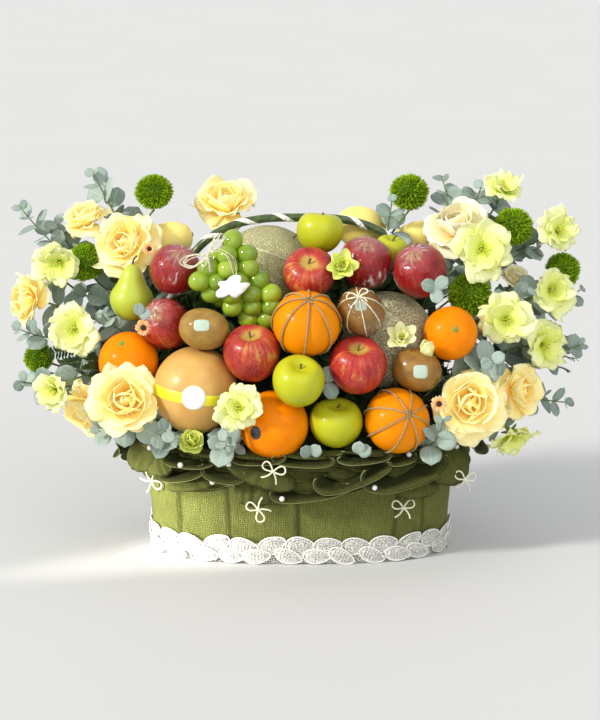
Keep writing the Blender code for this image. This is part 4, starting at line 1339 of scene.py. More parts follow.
@dataclass
class Fruit(Rounded):
    """One fruit of the heap, in the place of its plain solid."""

    node: str
    form: Form
    radius: float
    half_height: float
    axis: Triple
    skin: Finish
    slot: str
    stalk: float = 0.0
    button: float = 0.0
    spin: float = 0.0
    uneven: float = 0.012
    sides: int = 60
    rings: int = 38
    turn: np.ndarray = field(init=False)
    centre: np.ndarray = field(init=False)
    body: np.ndarray = field(init=False)
    unit_form: np.ndarray = field(init=False)

    def __post_init__(self) -> None:
        """Shapes the body and sets it where the plain solid is."""
        a = np.linspace(0, math.pi, self.rings + 1)[:, None]
        t = np.arange(self.sides)[None] * TURN / self.sides
        across, up = self.form.outline(a)
        if self.form is Form.LOBED:
            across = across * (1 - 0.03 * (0.5 + 0.5 * np.cos(8 * t)) ** 3)
        if self.form is Form.APPLE:
            across = across * (1 + 0.018 * np.cos(5 * t) * np.sin(a / 2) ** 4)
            up = up + 0.03 * np.cos(5 * t) * np.exp(-((a / 0.75) ** 2)) * np.sin(a)
        form = np.stack([across * np.cos(t), across * np.sin(t), up * np.ones_like(t)], axis=-1)
        swell = 1 + self.uneven * ripple(form, 1.9, self.seed())[..., None] * np.sin(a)[..., None]
        self.unit_form = form
        self.turn = turned_to(self.axis, self.spin)
        turned = form * swell * self.size() @ self.turn.T
        lo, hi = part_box(self.node)
        points = turned.reshape(-1, 3)
        self.centre = np.array((lo + hi) / 2) - (points.min(0) + points.max(0)) / 2
        self.body = turned + self.centre

    def seed(self) -> int:
        """The number that its swell is drawn from."""
        return sum(map(ord, self.node))

    def surface(self, ways: np.ndarray, lift: float | np.ndarray = 0.0) -> np.ndarray:
        """Points on the body.

        Args:
            ways: directions from the centre, in the shared frame.
            lift: how far above the surface.

        Returns:
            A point for each direction.
        """
        local = unit(ways) @ self.turn
        a = np.linspace(0, math.pi, 400)
        across, up = self.form.outline(a)
        across, up = across * self.radius, up * self.half_height
        angle = np.arctan2(np.hypot(local[..., 0], local[..., 1]), -local[..., 2])
        bearings = np.arctan2(across, -up)
        reach = np.interp(angle, bearings, np.hypot(across, up))
        polar = np.interp(angle, bearings, a)
        wobble = ripple(local * reach[..., None] / self.size(), 1.9, self.seed())
        swell = 1 + self.uneven * wobble * np.sin(polar)
        return self.centre + unit(ways) * (reach * swell + lift)[..., None]

    def ring(self, axis: Triple, count: int = 72, angle: float = 90.0) -> np.ndarray:
        """Directions round an axis at an angle in degrees from it.

        Args:
            axis: the axis.
            count: how many directions.
            angle: the angle from the axis.

        Returns:
            One direction in each row.
        """
        basis = turned_to(axis)
        t = np.arange(count) * TURN / count
        a = math.radians(angle)
        ways = [np.cos(t) * math.sin(a), np.sin(t) * math.sin(a), np.full(count, math.cos(a))]
        return np.stack(ways, axis=-1) @ basis.T

    def strand(self, draft: Draft, axis: Triple, radius: float, angle: float = 90.0, slot: int = 0) -> None:
        """Ties a strand round the fruit, about an axis."""
        draft.tube(self.surface(self.ring(axis, 72, angle), radius * 0.7), radius, 6, slot=slot, closed=True)

    def patch(
        self,
        draft: Draft,
        way: Triple,
        size: float,
        stretch: float = 1.0,
        power: float = 2.0,
        lift: float = 0.0004,
    ) -> None:
        """Lays a label on the fruit, its edge pressed down.

        Args:
            draft: where it is added.
            way: the direction it faces.
            size: its half width.
            stretch: its height as a share of its width.
            power: 2 for an oval, more for a rounded square.
            lift: how far it stands off.
        """
        basis = turned_to(way)
        t = np.arange(32)[None] * TURN / 32
        share = np.array([0.0, 0.25, 0.5, 0.75, 0.93, 1.0])[:, None]
        angle = share * size / self.radius
        side = turned_to((0, 0, 1)) @ np.array([1.0, 0.0, 0.0])
        e1 = unit(side - basis[:, 2] * (side @ basis[:, 2]))
        e2 = np.cross(basis[:, 2], e1)
        square = (np.abs(np.cos(t)) ** power + np.abs(np.sin(t)) ** power) ** (-1 / power) * np.tan(angle)
        flat = e1 * (np.cos(t) * square)[..., None] + e2 * (np.sin(t) * square * stretch)[..., None]
        ways = basis[:, 2] + flat
        grid = self.surface(ways, np.where(share < 1, lift, 0.0) * np.ones_like(t))
        draft.sheet(grid, blade_skin(share * np.cos(t), share * np.sin(t), 0.5), around=True)

    def film(self, finish: Film) -> Piece:
        """Clear film drawn round the fruit, with small creases.

        Args:
            finish: the film's finish.

        Returns:
            The piece.
        """
        a = np.linspace(0.02, math.pi - 0.02, 40)[:, None]
        t = np.arange(64)[None] * TURN / 64
        local = np.stack([np.sin(a) * np.cos(t), np.sin(a) * np.sin(t), np.cos(a) * np.ones_like(t)], axis=-1)
        skin = self.surface(local @ self.turn.T)
        taut = 0.985 / np.linalg.norm(local / self.size(), axis=-1)
        reach = np.maximum(np.linalg.norm(skin - self.centre, axis=-1), taut)
        crease = np.abs(ripple(local, 0.30, self.seed())) + 0.5 * np.abs(ripple(local, 0.13, self.seed() + 1))
        points = self.centre + (local @ self.turn.T) * (reach + 0.0010 + 0.0011 * crease)[..., None]
        draft = Draft()
        draft.sheet(points, local, around=True)
        return draft.make(f"{self.node}_film", [finish], self.slot)

    def crown(self) -> np.ndarray:
        """The bottom of the hollow that the stalk stands in."""
        return self.body[-1, 0]

    def build(self) -> Piece:
        """Makes the fruit with its stalk or button.

        Returns:
            The piece.
        """
        draft = Draft()
        draft.sheet(self.body, self.unit_form, around=True)
        up = self.turn[:, 2]
        side = self.turn[:, 0]
        finishes = [self.skin]
        if self.stalk:
            foot = self.crown() - up * 0.003
            tip = foot + up * self.stalk + side * self.stalk * 0.35
            line = bezier(foot, foot + up * self.stalk * 0.7, tip, 8)
            thick = np.linspace(1.0, 1.35, 9) * (0.0010 + self.radius * 0.008)
            draft.tube(line, thick, 8, slot=1)
            finishes.append(Palette.bark)
        if self.button:
            rays = np.arange(20) * TURN / 20
            star = 1 + 0.25 * np.cos(5 * rays)
            share = np.array([0.0, 0.5, 0.85, 1.0])[:, None]
            lift = np.array([0.0010, 0.0012, 0.0009, -0.0006])[:, None]
            flat = share * star * self.button
            grid = (
                self.crown()
                + flat[..., None] * np.cos(rays)[:, None] * self.turn[:, 0]
                + flat[..., None] * np.sin(rays)[:, None] * self.turn[:, 1]
                + (lift * np.ones_like(rays))[..., None] * up
            )
            draft.sheet(grid, np.array([0.3, 0.5, 0.5]), around=True, slot=len(finishes))
            finishes.append(Palette.sepal if self.form is not Form.OVAL else Palette.bark)
        piece = draft.make(f"{self.node}_fruit", finishes, self.slot)
        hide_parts(self.node)
        return piece


@dataclass
class CordBow:
    """A bow of thin cord: two loops, two tails and a knot, lying against a surface."""

    knot: np.ndarray
    outward: np.ndarray
    turn: float
    loop: float = 0.017
    width: float = 0.0055
    tail: float = 0.018
    radius: float = 0.0012

    def add(self, draft: Draft, slot: int = 0) -> None:
        """Adds the bow's cords to a draft.

        Args:
            draft: what the cords are added to.
            slot: the finish's number in it.
        """
        outward = unit(np.asarray(self.outward, float))
        side = unit(np.cross((0, 0, 1), outward))
        up = np.cross(outward, side)
        middle = self.knot + outward * self.radius * 1.2

        def flat(along: np.ndarray, across: np.ndarray, angle: float, lift: float) -> np.ndarray:
            """Points of the bow's plane, arched a little away from it.

            Args:
                along: along the loop.
                across: across it.
                angle: the loop's own angle.
                lift: how far it is arched.

            Returns:
                One point in each row.
            """
            a = angle + self.turn
            x = along * math.cos(a) - across * math.sin(a)
            z = along * math.sin(a) + across * math.cos(a)
            away = lift * np.sin(np.clip(np.abs(along) / self.loop, 0, 1) * math.pi)
            return middle + x[:, None] * side + z[:, None] * up + away[:, None] * outward

        s = np.linspace(0, math.pi, 25)
        for angle in (0.45, math.pi - 0.45):
            line = flat(self.loop * np.sin(s), self.width * np.sin(2 * s), angle, 0.0015)
            draft.tube(line, self.radius, 6, slot=slot)
        t = np.linspace(0, 1, 13)
        for angle in (math.pi + 0.75, -1.05):
            line = flat(self.tail * t, self.tail * 0.10 * np.sin(3 * t), angle, 0.0012)
            draft.tube(line, self.radius, 6, slot=slot)
        s = np.linspace(0, TURN, 13)[:-1]
        wrap = np.stack([np.cos(s), np.sin(s)], axis=-1) * self.radius * 1.7
        line = middle + wrap[:, :1] * side + wrap[:, 1:] * outward
        draft.tube(line, self.radius * 1.15, 6, slot=slot, closed=True)


@dataclass
class GrapeBunch:
    """The bunch of green grapes, its stalks, its tie and its plain tag."""

    node: str = "grapes_green"
    middle: Triple = (-0.090, -0.088, 0.387)
    radius: float = 0.0147
    rows: tuple = ((1, -0.002), (2, 0.004), (3, -0.008), (4, -0.007), (4, 0.010), (3, 0.024), (2, 0.032))
    row_step: float = 0.0178
    pitch: float = 0.0262
    bulge: float = 0.016
    reach: float = 0.058
    stagger: tuple[float, float] = (-0.002, 0.004)

    def centres(self, neighbours: list[Fruit]) -> list[np.ndarray]:
        """Where the grapes sit, each clear of the fruits beside the bunch.

        Args:
            neighbours: the fruits beside it.

        Returns:
            The middles of the grapes.
        """
        found = []
        half = (len(self.rows) - 1) / 2
        lo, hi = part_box(self.node)
        for row, (count, shift) in enumerate(self.rows):
            for i in range(count):
                across = (i - (count - 1) / 2) * self.pitch + shift
                drop = (row - half) * self.row_step
                spread = math.hypot(across - shift, drop) / self.reach
                forward = self.bulge * (1 - spread**2) + self.stagger[(row + i) % 2]
                found.append(np.array(self.middle) + (across, -forward, -drop))
        points = np.array(found)
        moved = (np.array(lo) + np.array(hi)) / 2 - (points.min(0) + points.max(0)) / 2
        moved[1] = lo.y + self.radius - points[:, 1].min()
        clear = []
        for centre in points + moved:
            for _ in range(12):
                for fruit in neighbours:
                    away = unit(centre - fruit.centre)
                    reach = np.linalg.norm((away @ fruit.turn) * fruit.size())
                    short = reach + self.radius - np.linalg.norm(centre - fruit.centre)
                    centre = centre + away * max(0.0, short)
            clear.append(centre)
        return clear

    def build(self, neighbours: list[Fruit]) -> list[Piece]:
        """Makes the grapes with their stalks, and the tie and tag on them.

        Args:
            neighbours: the fruits beside it.

        Returns:
            The pieces.
        """
        rng = np.random.default_rng(5)
        draft = Draft()
        centres = self.centres(neighbours)
        pairs = [(a, b) for i, a in enumerate(centres) for b in centres[i + 1 :]]
        between = [(a + b) / 2 for a, b in pairs if np.linalg.norm(a - b) < 0.034]
        for spot in between:
            spot = spot + (0, 0.016, 0)
            if all(np.linalg.norm(spot - other) > 0.019 for other in centres):
                centres.append(spot)
        core = np.array(self.middle) + (0, 0.006, 0)
        top = np.array(self.middle) + (-0.004, -0.004, 0.062)
        foot = core + (0.014, 0.004, -0.040)
        spine = bezier(top, core, foot, 12)
        for centre in centres:
            size = self.radius * rng.uniform(0.94, 1.03) * np.array([0.97, 0.97, 1.10])
            start = spine[np.argmin(np.linalg.norm(spine - centre, axis=1))]
            way = unit(centre - start)
            basis = turned_to(way, rng.uniform(0, TURN))
            ball = Draft()
            ball.ball(np.zeros(3), size, rng.uniform(0, 1), 24)
            points = (ball.points[0] @ basis.T + centre).reshape(13, 24, 3)
            draft.sheet(points, ball.skins[0].reshape(13, 24, 3), around=True)
            tip = centre - way * self.radius * 0.95
            draft.tube(bezier(start, (start + tip) / 2 + (0, 0, 0.004), tip, 5), 0.0009, 6, slot=1)
        draft.tube(spine, np.linspace(0.0020, 0.0010, 13), 8, slot=1)
        bunch = draft.make("grape_bunch", [Palette.grape, Palette.sepal], "grape")
        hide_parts(self.node)
        return [bunch, self.tie(centres), self.tag()]

    def tie(self, centres: list[np.ndarray]) -> Piece:
        """The bundle of pale strands knotted at the upper left of the bunch.

        Args:
            centres: where the grapes sit.

        Returns:
            The piece.
        """

        def front(x: float, z: float) -> float:
            """How far forward the grapes come at a place.

            Args:
                x: across.
                z: up.

            Returns:
                The depth there.
            """
            reach = [-0.100]
            for c in centres:
                left = self.radius**2 - (x - c[0]) ** 2 - (z - c[2]) ** 2
                reach.append(c[1] - math.sqrt(left) if left > 0 else -0.100)
            return min(reach)

        rng = np.random.default_rng(9)
        knot = (-0.124, 0.4265)
        routes = (
            ((-0.150, 0.4240), (-0.160, 0.4140), (-0.150, 0.4080), (-0.136, 0.4150), knot),
            ((-0.146, 0.4220), (-0.155, 0.4130), (-0.144, 0.4100), (-0.133, 0.4180), knot),
            ((-0.118, 0.4350), (-0.111, 0.4440), (-0.106, 0.4540)),
            ((-0.116, 0.4320), (-0.107, 0.4400), (-0.100, 0.4500)),
            ((-0.119, 0.4380), (-0.114, 0.4480), (-0.110, 0.4560)),
            ((-0.112, 0.4345), (-0.098, 0.4300), (-0.089, 0.4180), (-0.0864, 0.3980)),
            ((-0.110, 0.4290), (-0.097, 0.4250), (-0.092, 0.4150), (-0.089, 0.3980)),
            ((-0.127, 0.4170), (-0.131, 0.4050)),
            ((-0.122, 0.4160), (-0.120, 0.4030)),
        )
        draft = Draft()
        for route in routes:
            for _ in range(2):
                spots = [knot, *(tuple(np.array(spot) + rng.normal(size=2) * 0.0012) for spot in route)]
                depths = np.array([front(x, z) for x, z in spots])
                depths = np.minimum(depths, (depths + np.roll(depths, 1)) / 2) - rng.uniform(0.001, 0.003)
                depths[0] = front(*knot) - 0.002
                line = smooth_line([np.array([x, y, z]) for (x, z), y in zip(spots, depths)], 6)
                draft.tube(line, 0.0009, 6, flat=0.5)
        draft.ball(np.array([knot[0], front(*knot) - 0.002, knot[1]]), 0.0034, 0.5, 12)
        return draft.make("grape_tie", [Palette.cord], "ribbon")

    def tag(self) -> Piece:
        """A plain white tag with a wavy edge, lying on the grapes.

        Returns:
            The piece.
        """
        draft = Draft()
        t = np.arange(40)[None] * TURN / 40
        share = np.linspace(0, 1, 6)[:, None]
        edge = 0.82 + 0.10 * np.cos(3 * t + 2.0) + 0.14 * np.cos(5 * t + 0.7) + 0.06 * np.cos(8 * t)
        x = share * edge * (np.cos(t) * 0.0250 - np.sin(t) * 0.0030)
        z = share * edge * (np.sin(t) * 0.0165 + np.cos(t) * 0.0060)
        y = 10.0 * (x * x + z * z) + 0.0006 * np.sin(500 * x + 300 * z)
        grid = np.stack([x, y, z], axis=-1) + (-0.0915, -0.1225, 0.384)
        draft.sheet(grid, np.array([0.5, 0.5, 0.5]), around=True)
        return draft.make("grape_tag", [Palette.label], "ribbon", thickness=0.0004)


@dataclass(frozen=True)
class Whorl:
    """One ring of petals. Lengths are shares of the head's radius, leans are degrees from where it faces."""

    count: int
    foot: float
    length: float
    half_width: float
    lean: tuple[float, float]
    cup: float
    ruffle: float = 0.03
    waves: float = 2.5
    notch: float = 0.18
    curl: float = 1.4
    wild: float = 0.08

    def add(self, draft: Draft, head: "Head", turn: float, rank: float, rng: np.random.Generator) -> None:
        """Adds the ring of petals to a head's draft.

        Args:
            draft: where they are added.
            head: the head they belong to.
            turn: where the first one stands.
            rank: 0 for the innermost ring, 1 for the outermost.
            rng: for the small differences between them.
        """
        slim = self.count > 8
        s = np.linspace(0, 1, 6 if slim else head.petal_rows)[:, None]
        t = np.linspace(-1, 1, 5 if slim else head.petal_columns)[None]
        for k in range(self.count):
            grow = rng.uniform(1 - self.wild, 1 + 0.5 * self.wild)
            tilt = rng.uniform(-1, 1) * (4 + 60 * self.wild)
            twist = rng.uniform(-3, 3) * self.wild
            table = np.linspace(0, 1, 60)
            lean = np.radians(self.lean[0] + tilt + (self.lean[1] - self.lean[0]) * table**self.curl)
            rho = self.foot + np.concatenate([[0], np.cumsum(np.sin(lean))[:-1]]) * self.length * grow / 59
            rise = np.concatenate([[0], np.cumsum(np.cos(lean))[:-1]]) * self.length * grow / 59
            dip = self.notch * np.abs(t) ** (2.0 if self.notch < 0.4 else 1.0)
            along = s * (1 - dip + 0.02 * np.sin(6 * t + k))
            low = 0.26 + 0.74 * np.sin(np.clip(s / 0.68, 0, 1) * math.pi / 2)
            high = np.sqrt(np.clip(1 - ((s - 0.68) / 0.47) ** 2, 0, 1))
            half = self.half_width * grow * np.where(s < 0.68, low, high)
            way = np.interp(along, table, lean)
            swing = np.sin(self.waves * math.pi * t + rng.uniform(0, TURN))
            wave = self.ruffle * s**2 * np.abs(t) ** 0.7 * swing
            edge = self.ruffle * 0.8 * s**5 * np.sin(self.waves * 4.3 * t + rng.uniform(0, TURN))
            inward = self.cup * half * t * t + twist * half * t * s + wave + edge
            out = np.interp(along, table, rho) - np.cos(way) * inward
            up = np.interp(along, table, rise) + np.sin(way) * inward
            side = half * t
            angle = turn + k * TURN / self.count + rng.uniform(-1.3, 1.3) * self.wild
            c, z = math.cos(angle), math.sin(angle)
            local = np.stack([out * c - side * z, out * z + side * c, up + head.base], axis=-1)
            tone = 0.7 * rank + rng.uniform(0, 0.3)
            skin = blade_skin(t, s, tone)
            draft.sheet(head.centre + (local * head.radius) @ head.turn.T, skin)


@dataclass
class Head(Rounded):
    """A flower head made of whorls of petals, in the place of its plain solid."""

    node: str
    radius: float
    half_height: float
    axis: Triple
    whorls: tuple[Whorl, ...]
    skin: Finish
    slot: str
    seed: int = 0
    stamens: int = 0
    place: Triple | None = None
    base: float = -0.42
    petal_rows: int = 10
    petal_columns: int = 9
    thickness: float = 0.00045
    turn: np.ndarray = field(init=False)
    centre: np.ndarray = field(init=False)

    def __post_init__(self) -> None:
        """Finds the middle of the plain solid, or takes the given place."""
        self.turn = turned_to(self.axis, self.seed * 1.3)
        if self.place is None:
            lo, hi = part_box(self.node)
            self.centre = np.array((lo + hi) / 2)
        else:
            self.centre = np.array(self.place)

    def build(self) -> list[Piece]:
        """Makes the petals, and then the heart and the green cup behind them.

        Returns:
            The pieces.
        """
        rng = np.random.default_rng(self.seed + 11)
        petals = Draft()
        for k, whorl in enumerate(self.whorls):
            whorl.add(petals, self, k * 0.9 + self.seed, k / (len(self.whorls) - 1), rng)
        bloom = petals.make(f"{self.node}_bloom", [self.skin], self.slot, thickness=self.thickness)
        if self.place is None:
            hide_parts(self.node)
        rest = Draft()
        self.heart(rest, rng)
        cup = self.centre + self.turn[:, 2] * self.radius * (self.base - 0.06)
        rest.ball(cup, self.radius * 0.13, 0.4, 12)
        for k in range(5):
            a = k * TURN / 5 + self.seed
            way = self.turn @ np.array([math.cos(a), math.sin(a), -0.15])
            long, half = self.radius * 0.42, self.radius * 0.11
            leaf_blade(rest, cup, way, self.turn[:, 2], long, half, 0.3, 0.1, 0.5, 6)
        core = rest.make(f"{self.node}_cup", [Palette.sepal, Palette.yellow_seeds, Palette.seeds], "foliage")
        return [bloom, core]

    def heart(self, draft: Draft, rng: np.random.Generator) -> None:
        """Stamens with round tips in the middle of the head.

        Args:
            draft: what the stamens are added to.
            rng: the head's random numbers.
        """
        foot = self.centre + self.turn[:, 2] * self.radius * (self.base + 0.05)
        if self.whorls is DAISY:
            dome = Draft()
            dome.ball(np.zeros(3), self.radius * np.array([0.34, 0.34, 0.22]), 0.5, 16)
            points = dome.points[0] @ self.turn.T + self.centre
            points = points + self.turn[:, 2] * self.radius * (self.base + 0.10)
            draft.sheet(points.reshape(9, 16, 3), dome.skins[0].reshape(9, 16, 3), around=True, slot=2)
        for k in range(self.stamens):
            a = k * 2.4
            lean = 0.28 * math.sqrt((k + 0.5) / self.stamens)
            way = self.turn @ unit(np.array([math.cos(a) * lean, math.sin(a) * lean, 0.55]))
            tip = foot + way * self.radius * rng.uniform(0.34, 0.44)
            draft.tube(bezier(foot, (foot + tip) / 2, tip, 4), 0.0005, 5, slot=1)
            here = len(draft.slots)
            draft.ball(tip, 0.0013, 0.8, 8)
            draft.slots[here][:] = 1


def leaf_blade(
    draft: Draft,
    foot: np.ndarray,
    way: np.ndarray,
    face: np.ndarray,
    length: float,
    half_width: float,
    widest: float = 0.5,
    droop: float = 0.0,
    tone: float = 0.5,
    rows: int = 6,
    slot: int = 0,
    fold: float = 0.12,
) -> None:
    """Adds one leaf.

    Args:
        draft: where it is added.
        foot: where it starts.
        way: which way it runs.
        face: roughly which way its upper side faces.
        length: its length.
        half_width: half its width.
        widest: where it is widest, as a share of its length.
        droop: how far its tip bends down, as a share of its length.
        tone: its own shade, from 0 to 1.
        rows: how many rows of points it has.
        slot: which finish it takes.
        fold: how far it is folded along its midrib.
    """
    way = unit(np.asarray(way, float))
    side = unit(np.cross(way, face))
    up = np.cross(side, way)
    s = np.linspace(0, 1, rows + 1)[:, None]
    t = np.linspace(-1, 1, 5)[None]
    low = np.sqrt(np.clip(1 - (1 - s / widest) ** 2, 0, 1))
    high = np.sqrt(np.clip(1 - ((s - widest) / (1 - widest)) ** 2, 0, 1))
    half = half_width * np.where(s < widest, low, high)
    lift = -droop * length * s**2 + fold * half * np.abs(t) ** 1.2
    grid = foot + s[..., None] * length * way + (half * t)[..., None] * side + lift[..., None] * up
    skin = blade_skin(t, s, tone)
    draft.sheet(grid, skin, slot=slot)


@dataclass
class Pompon(Rounded):
    """A moss-like dianthus ball of short green spikes, in the place of its plain solid."""

    node: str
    radius: float
    half_height: float
    axis: Triple
    seed: int = 0
    spikes: int = 1600
    turn: np.ndarray = field(init=False)
    centre: np.ndarray = field(init=False)

    def __post_init__(self) -> None:
        """Finds the middle of the plain solid."""
        lo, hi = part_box(self.node)
        self.centre = np.array((lo + hi) / 2)
        self.turn = turned_to(self.axis)

    def build(self) -> Piece:
        """Makes the core and the spikes that stand out of it.

        Returns:
            The piece.
        """
        rng = np.random.default_rng(self.seed + 71)
        draft = Draft()
        draft.ball(self.centre, self.size().mean() * 0.72, 0.0, 20)
        draft.skins[0] = np.zeros_like(draft.skins[0])
        k = np.arange(self.spikes) + 0.5
        z = 1 - 2 * k / self.spikes
        a = k * 2.39996
        flat = np.sqrt(1 - z * z)
        ways = np.stack([flat * np.cos(a), flat * np.sin(a), z], axis=-1)
        tuft = 0.94 + 0.06 * ripple(ways, 0.7, self.seed + 3)
        for way, bulge in zip(ways, tuft):
            lean = unit(way + rng.normal(size=3) * 0.22)
            start = way * 0.60
            tip = start + lean * (bulge * rng.uniform(0.92, 1.02) - 0.60)
            tip = tip / max(1.0, np.linalg.norm(tip))
            side = unit(np.cross(lean, rng.normal(size=3)))
            s = np.array([0.0, 0.5, 0.85, 1.0])[:, None]
            t = np.array([-1.0, 0.0, 1.0])[None]
            half = 0.031 * np.array([0.7, 1.0, 0.7, 0.12])[:, None]
            bend = np.cross(side, lean) * 0.05
            grid = start + s[..., None] * (tip - start) + (half * t)[..., None] * side
            keel = (np.abs(t) * half * 0.5)[..., None] * np.cross(lean, side)
            grid = grid + (s * s)[..., None] * bend + keel
            tone = rng.uniform(0, 1)
            skin = blade_skin(t, s, tone)
            draft.sheet(self.centre + (grid * self.size()) @ self.turn.T, skin)
        piece = draft.make(f"{self.node}_bloom", [Palette.spikes], "dianthus")
        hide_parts(self.node)
        return piece


@dataclass(frozen=True)
class Wall:
    """The tub's straight rounded wall, from its foot to its rim."""

    foot: tuple[float, float] = (0.204, 0.124)
    rim: tuple[float, float] = (0.218, 0.134)
    height: float = 0.150
    power: float = 2.6

    def outline(self, angle: np.ndarray) -> tuple[np.ndarray, np.ndarray]:
        """A rounded square of half size one, at angles."""
        c, s = np.cos(angle), np.sin(angle)
        return np.sign(c) * np.abs(c) ** (2 / self.power), np.sign(s) * np.abs(s) ** (2 / self.power)

    def length(self) -> float:
        """How far it is round the rim."""
        return float(self.table()[1][-1])

    def table(self) -> tuple[np.ndarray, np.ndarray]:
        """Angles round the rim from the middle of the front, and how far along each is.

        Returns:
            The angles and the distances.
        """
        angle = np.linspace(0, TURN, 6001) - math.pi / 2
        u, v = self.outline(angle)
        step = np.hypot(np.diff(u * self.rim[0]), np.diff(v * self.rim[1]))
        return angle, np.concatenate([[0], np.cumsum(step)])

    def points(self, share: np.ndarray, height: np.ndarray, out: np.ndarray) -> tuple[np.ndarray, np.ndarray]:
        """Points over the wall.

        Args:
            share: how far round, 0 at the middle of the front and growing to the right.
            height: the height above the ground.
            out: the distance out from the wall.

        Returns:
            The points, and the way the wall faces at each.
        """
        angles, along = self.table()
        angle = np.interp(np.mod(share, 1.0) * along[-1], along, angles)
        u, v = self.outline(angle)
        t = height / self.height
        half_x = self.foot[0] + (self.rim[0] - self.foot[0]) * t
        half_y = self.foot[1] + (self.rim[1] - self.foot[1]) * t
        nx = np.sign(u) * np.abs(u) ** (self.power - 1) / half_x
        ny = np.sign(v) * np.abs(v) ** (self.power - 1) / half_y
        normal = unit(np.stack([nx, ny, np.zeros_like(nx)], axis=-1))
        base = np.stack([half_x * u, half_y * v, height * np.ones_like(u)], axis=-1)
        return base + normal * np.asarray(out)[..., None], normal


@dataclass
class Tub:
    """The cloth wrapped round the tub, with its pleats, and the board under it."""

    wall: Wall
    pleats: tuple[float, ...] = (-0.182, -0.101, 0.0, 0.135, 0.189)
    depth: float = 0.0019
    columns: int = 480
    rows: int = 26

    def build(self) -> list[Piece]:
        """Makes the wrap and the board.

        Returns:
            The pieces.
        """
        length = self.wall.length()
        share = np.arange(self.columns)[None] / self.columns
        height = np.linspace(0.0006, self.wall.height, self.rows + 1)[:, None]
        share, height = np.broadcast_arrays(share, height)
        metres = (np.mod(share + 0.5, 1.0) - 0.5) * length
        out = np.zeros(share.shape)
        tone = np.full(share.shape, 0.4)
        edges = [(x, 1) for x in self.pleats] + [(x + 0.5 * length + 0.02, -1) for x in self.pleats]
        for k, (x, way) in enumerate(edges):
            slant = 0.012 * math.sin(2.3 * k + 1)
            away = np.mod(metres - x - slant * height / self.wall.height + length / 2, length) - length / 2
            away = away * way
            step = 1 / (1 + np.exp(-away / 0.0007))
            out = out - self.depth * step * np.exp(-np.abs(away) / 0.035)
            lip = np.exp(-(((away + 0.0022) / 0.0018) ** 2))
            out = out + 0.0006 * lip
            # A paler colour along each pleat's lip.
            tone = np.maximum(tone, 0.4 + 0.56 * lip)
        place = np.stack([metres, height, np.zeros(share.shape)], axis=-1)
        out = out + 0.0006 * ripple(place, 0.045, 4) + 0.0004 * ripple(place * (1, 0.25, 1), 0.016, 9)
        grid, _ = self.wall.points(share, height, out - 0.0006)
        draft = Draft()
        draft.sheet(grid, np.stack([metres, height, tone], axis=-1), around=True)
        wrap = draft.make("tub_wrap", [Palette.cloth], "olive_cloth", thickness=0.0010)
        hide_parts("tub_cloth")
        board = Draft()
        count = 160
        t = np.arange(count) / count
        rings = []
        profile = ((0.0, 0.0004), (0.5, 0.0004), (0.97, 0.0004), (0.985, 0.003), (0.97, 0.006), (0.0, 0.006))
        for scale, z in profile:
            ring, _ = self.wall.points(t, np.full(count, 0.001), np.full(count, -0.001))
            rings.append(np.column_stack([ring[:, :2] * scale, np.full(count, z)]))
        grid = np.array(rings)
        board.sheet(grid, grid, around=True)
        base = board.make("tub_board", [Palette.cloth], "olive_cloth")
        return [wrap, base]


@dataclass(frozen=True)
class Tier:
    """One tier of the collar: where it hangs from, how low it reaches, and how its folds roll over."""

    top: tuple[float, float]
    edge: tuple[float, float]
    folds: int
    phase: float
    sag: float
    sway: float
    lip: float


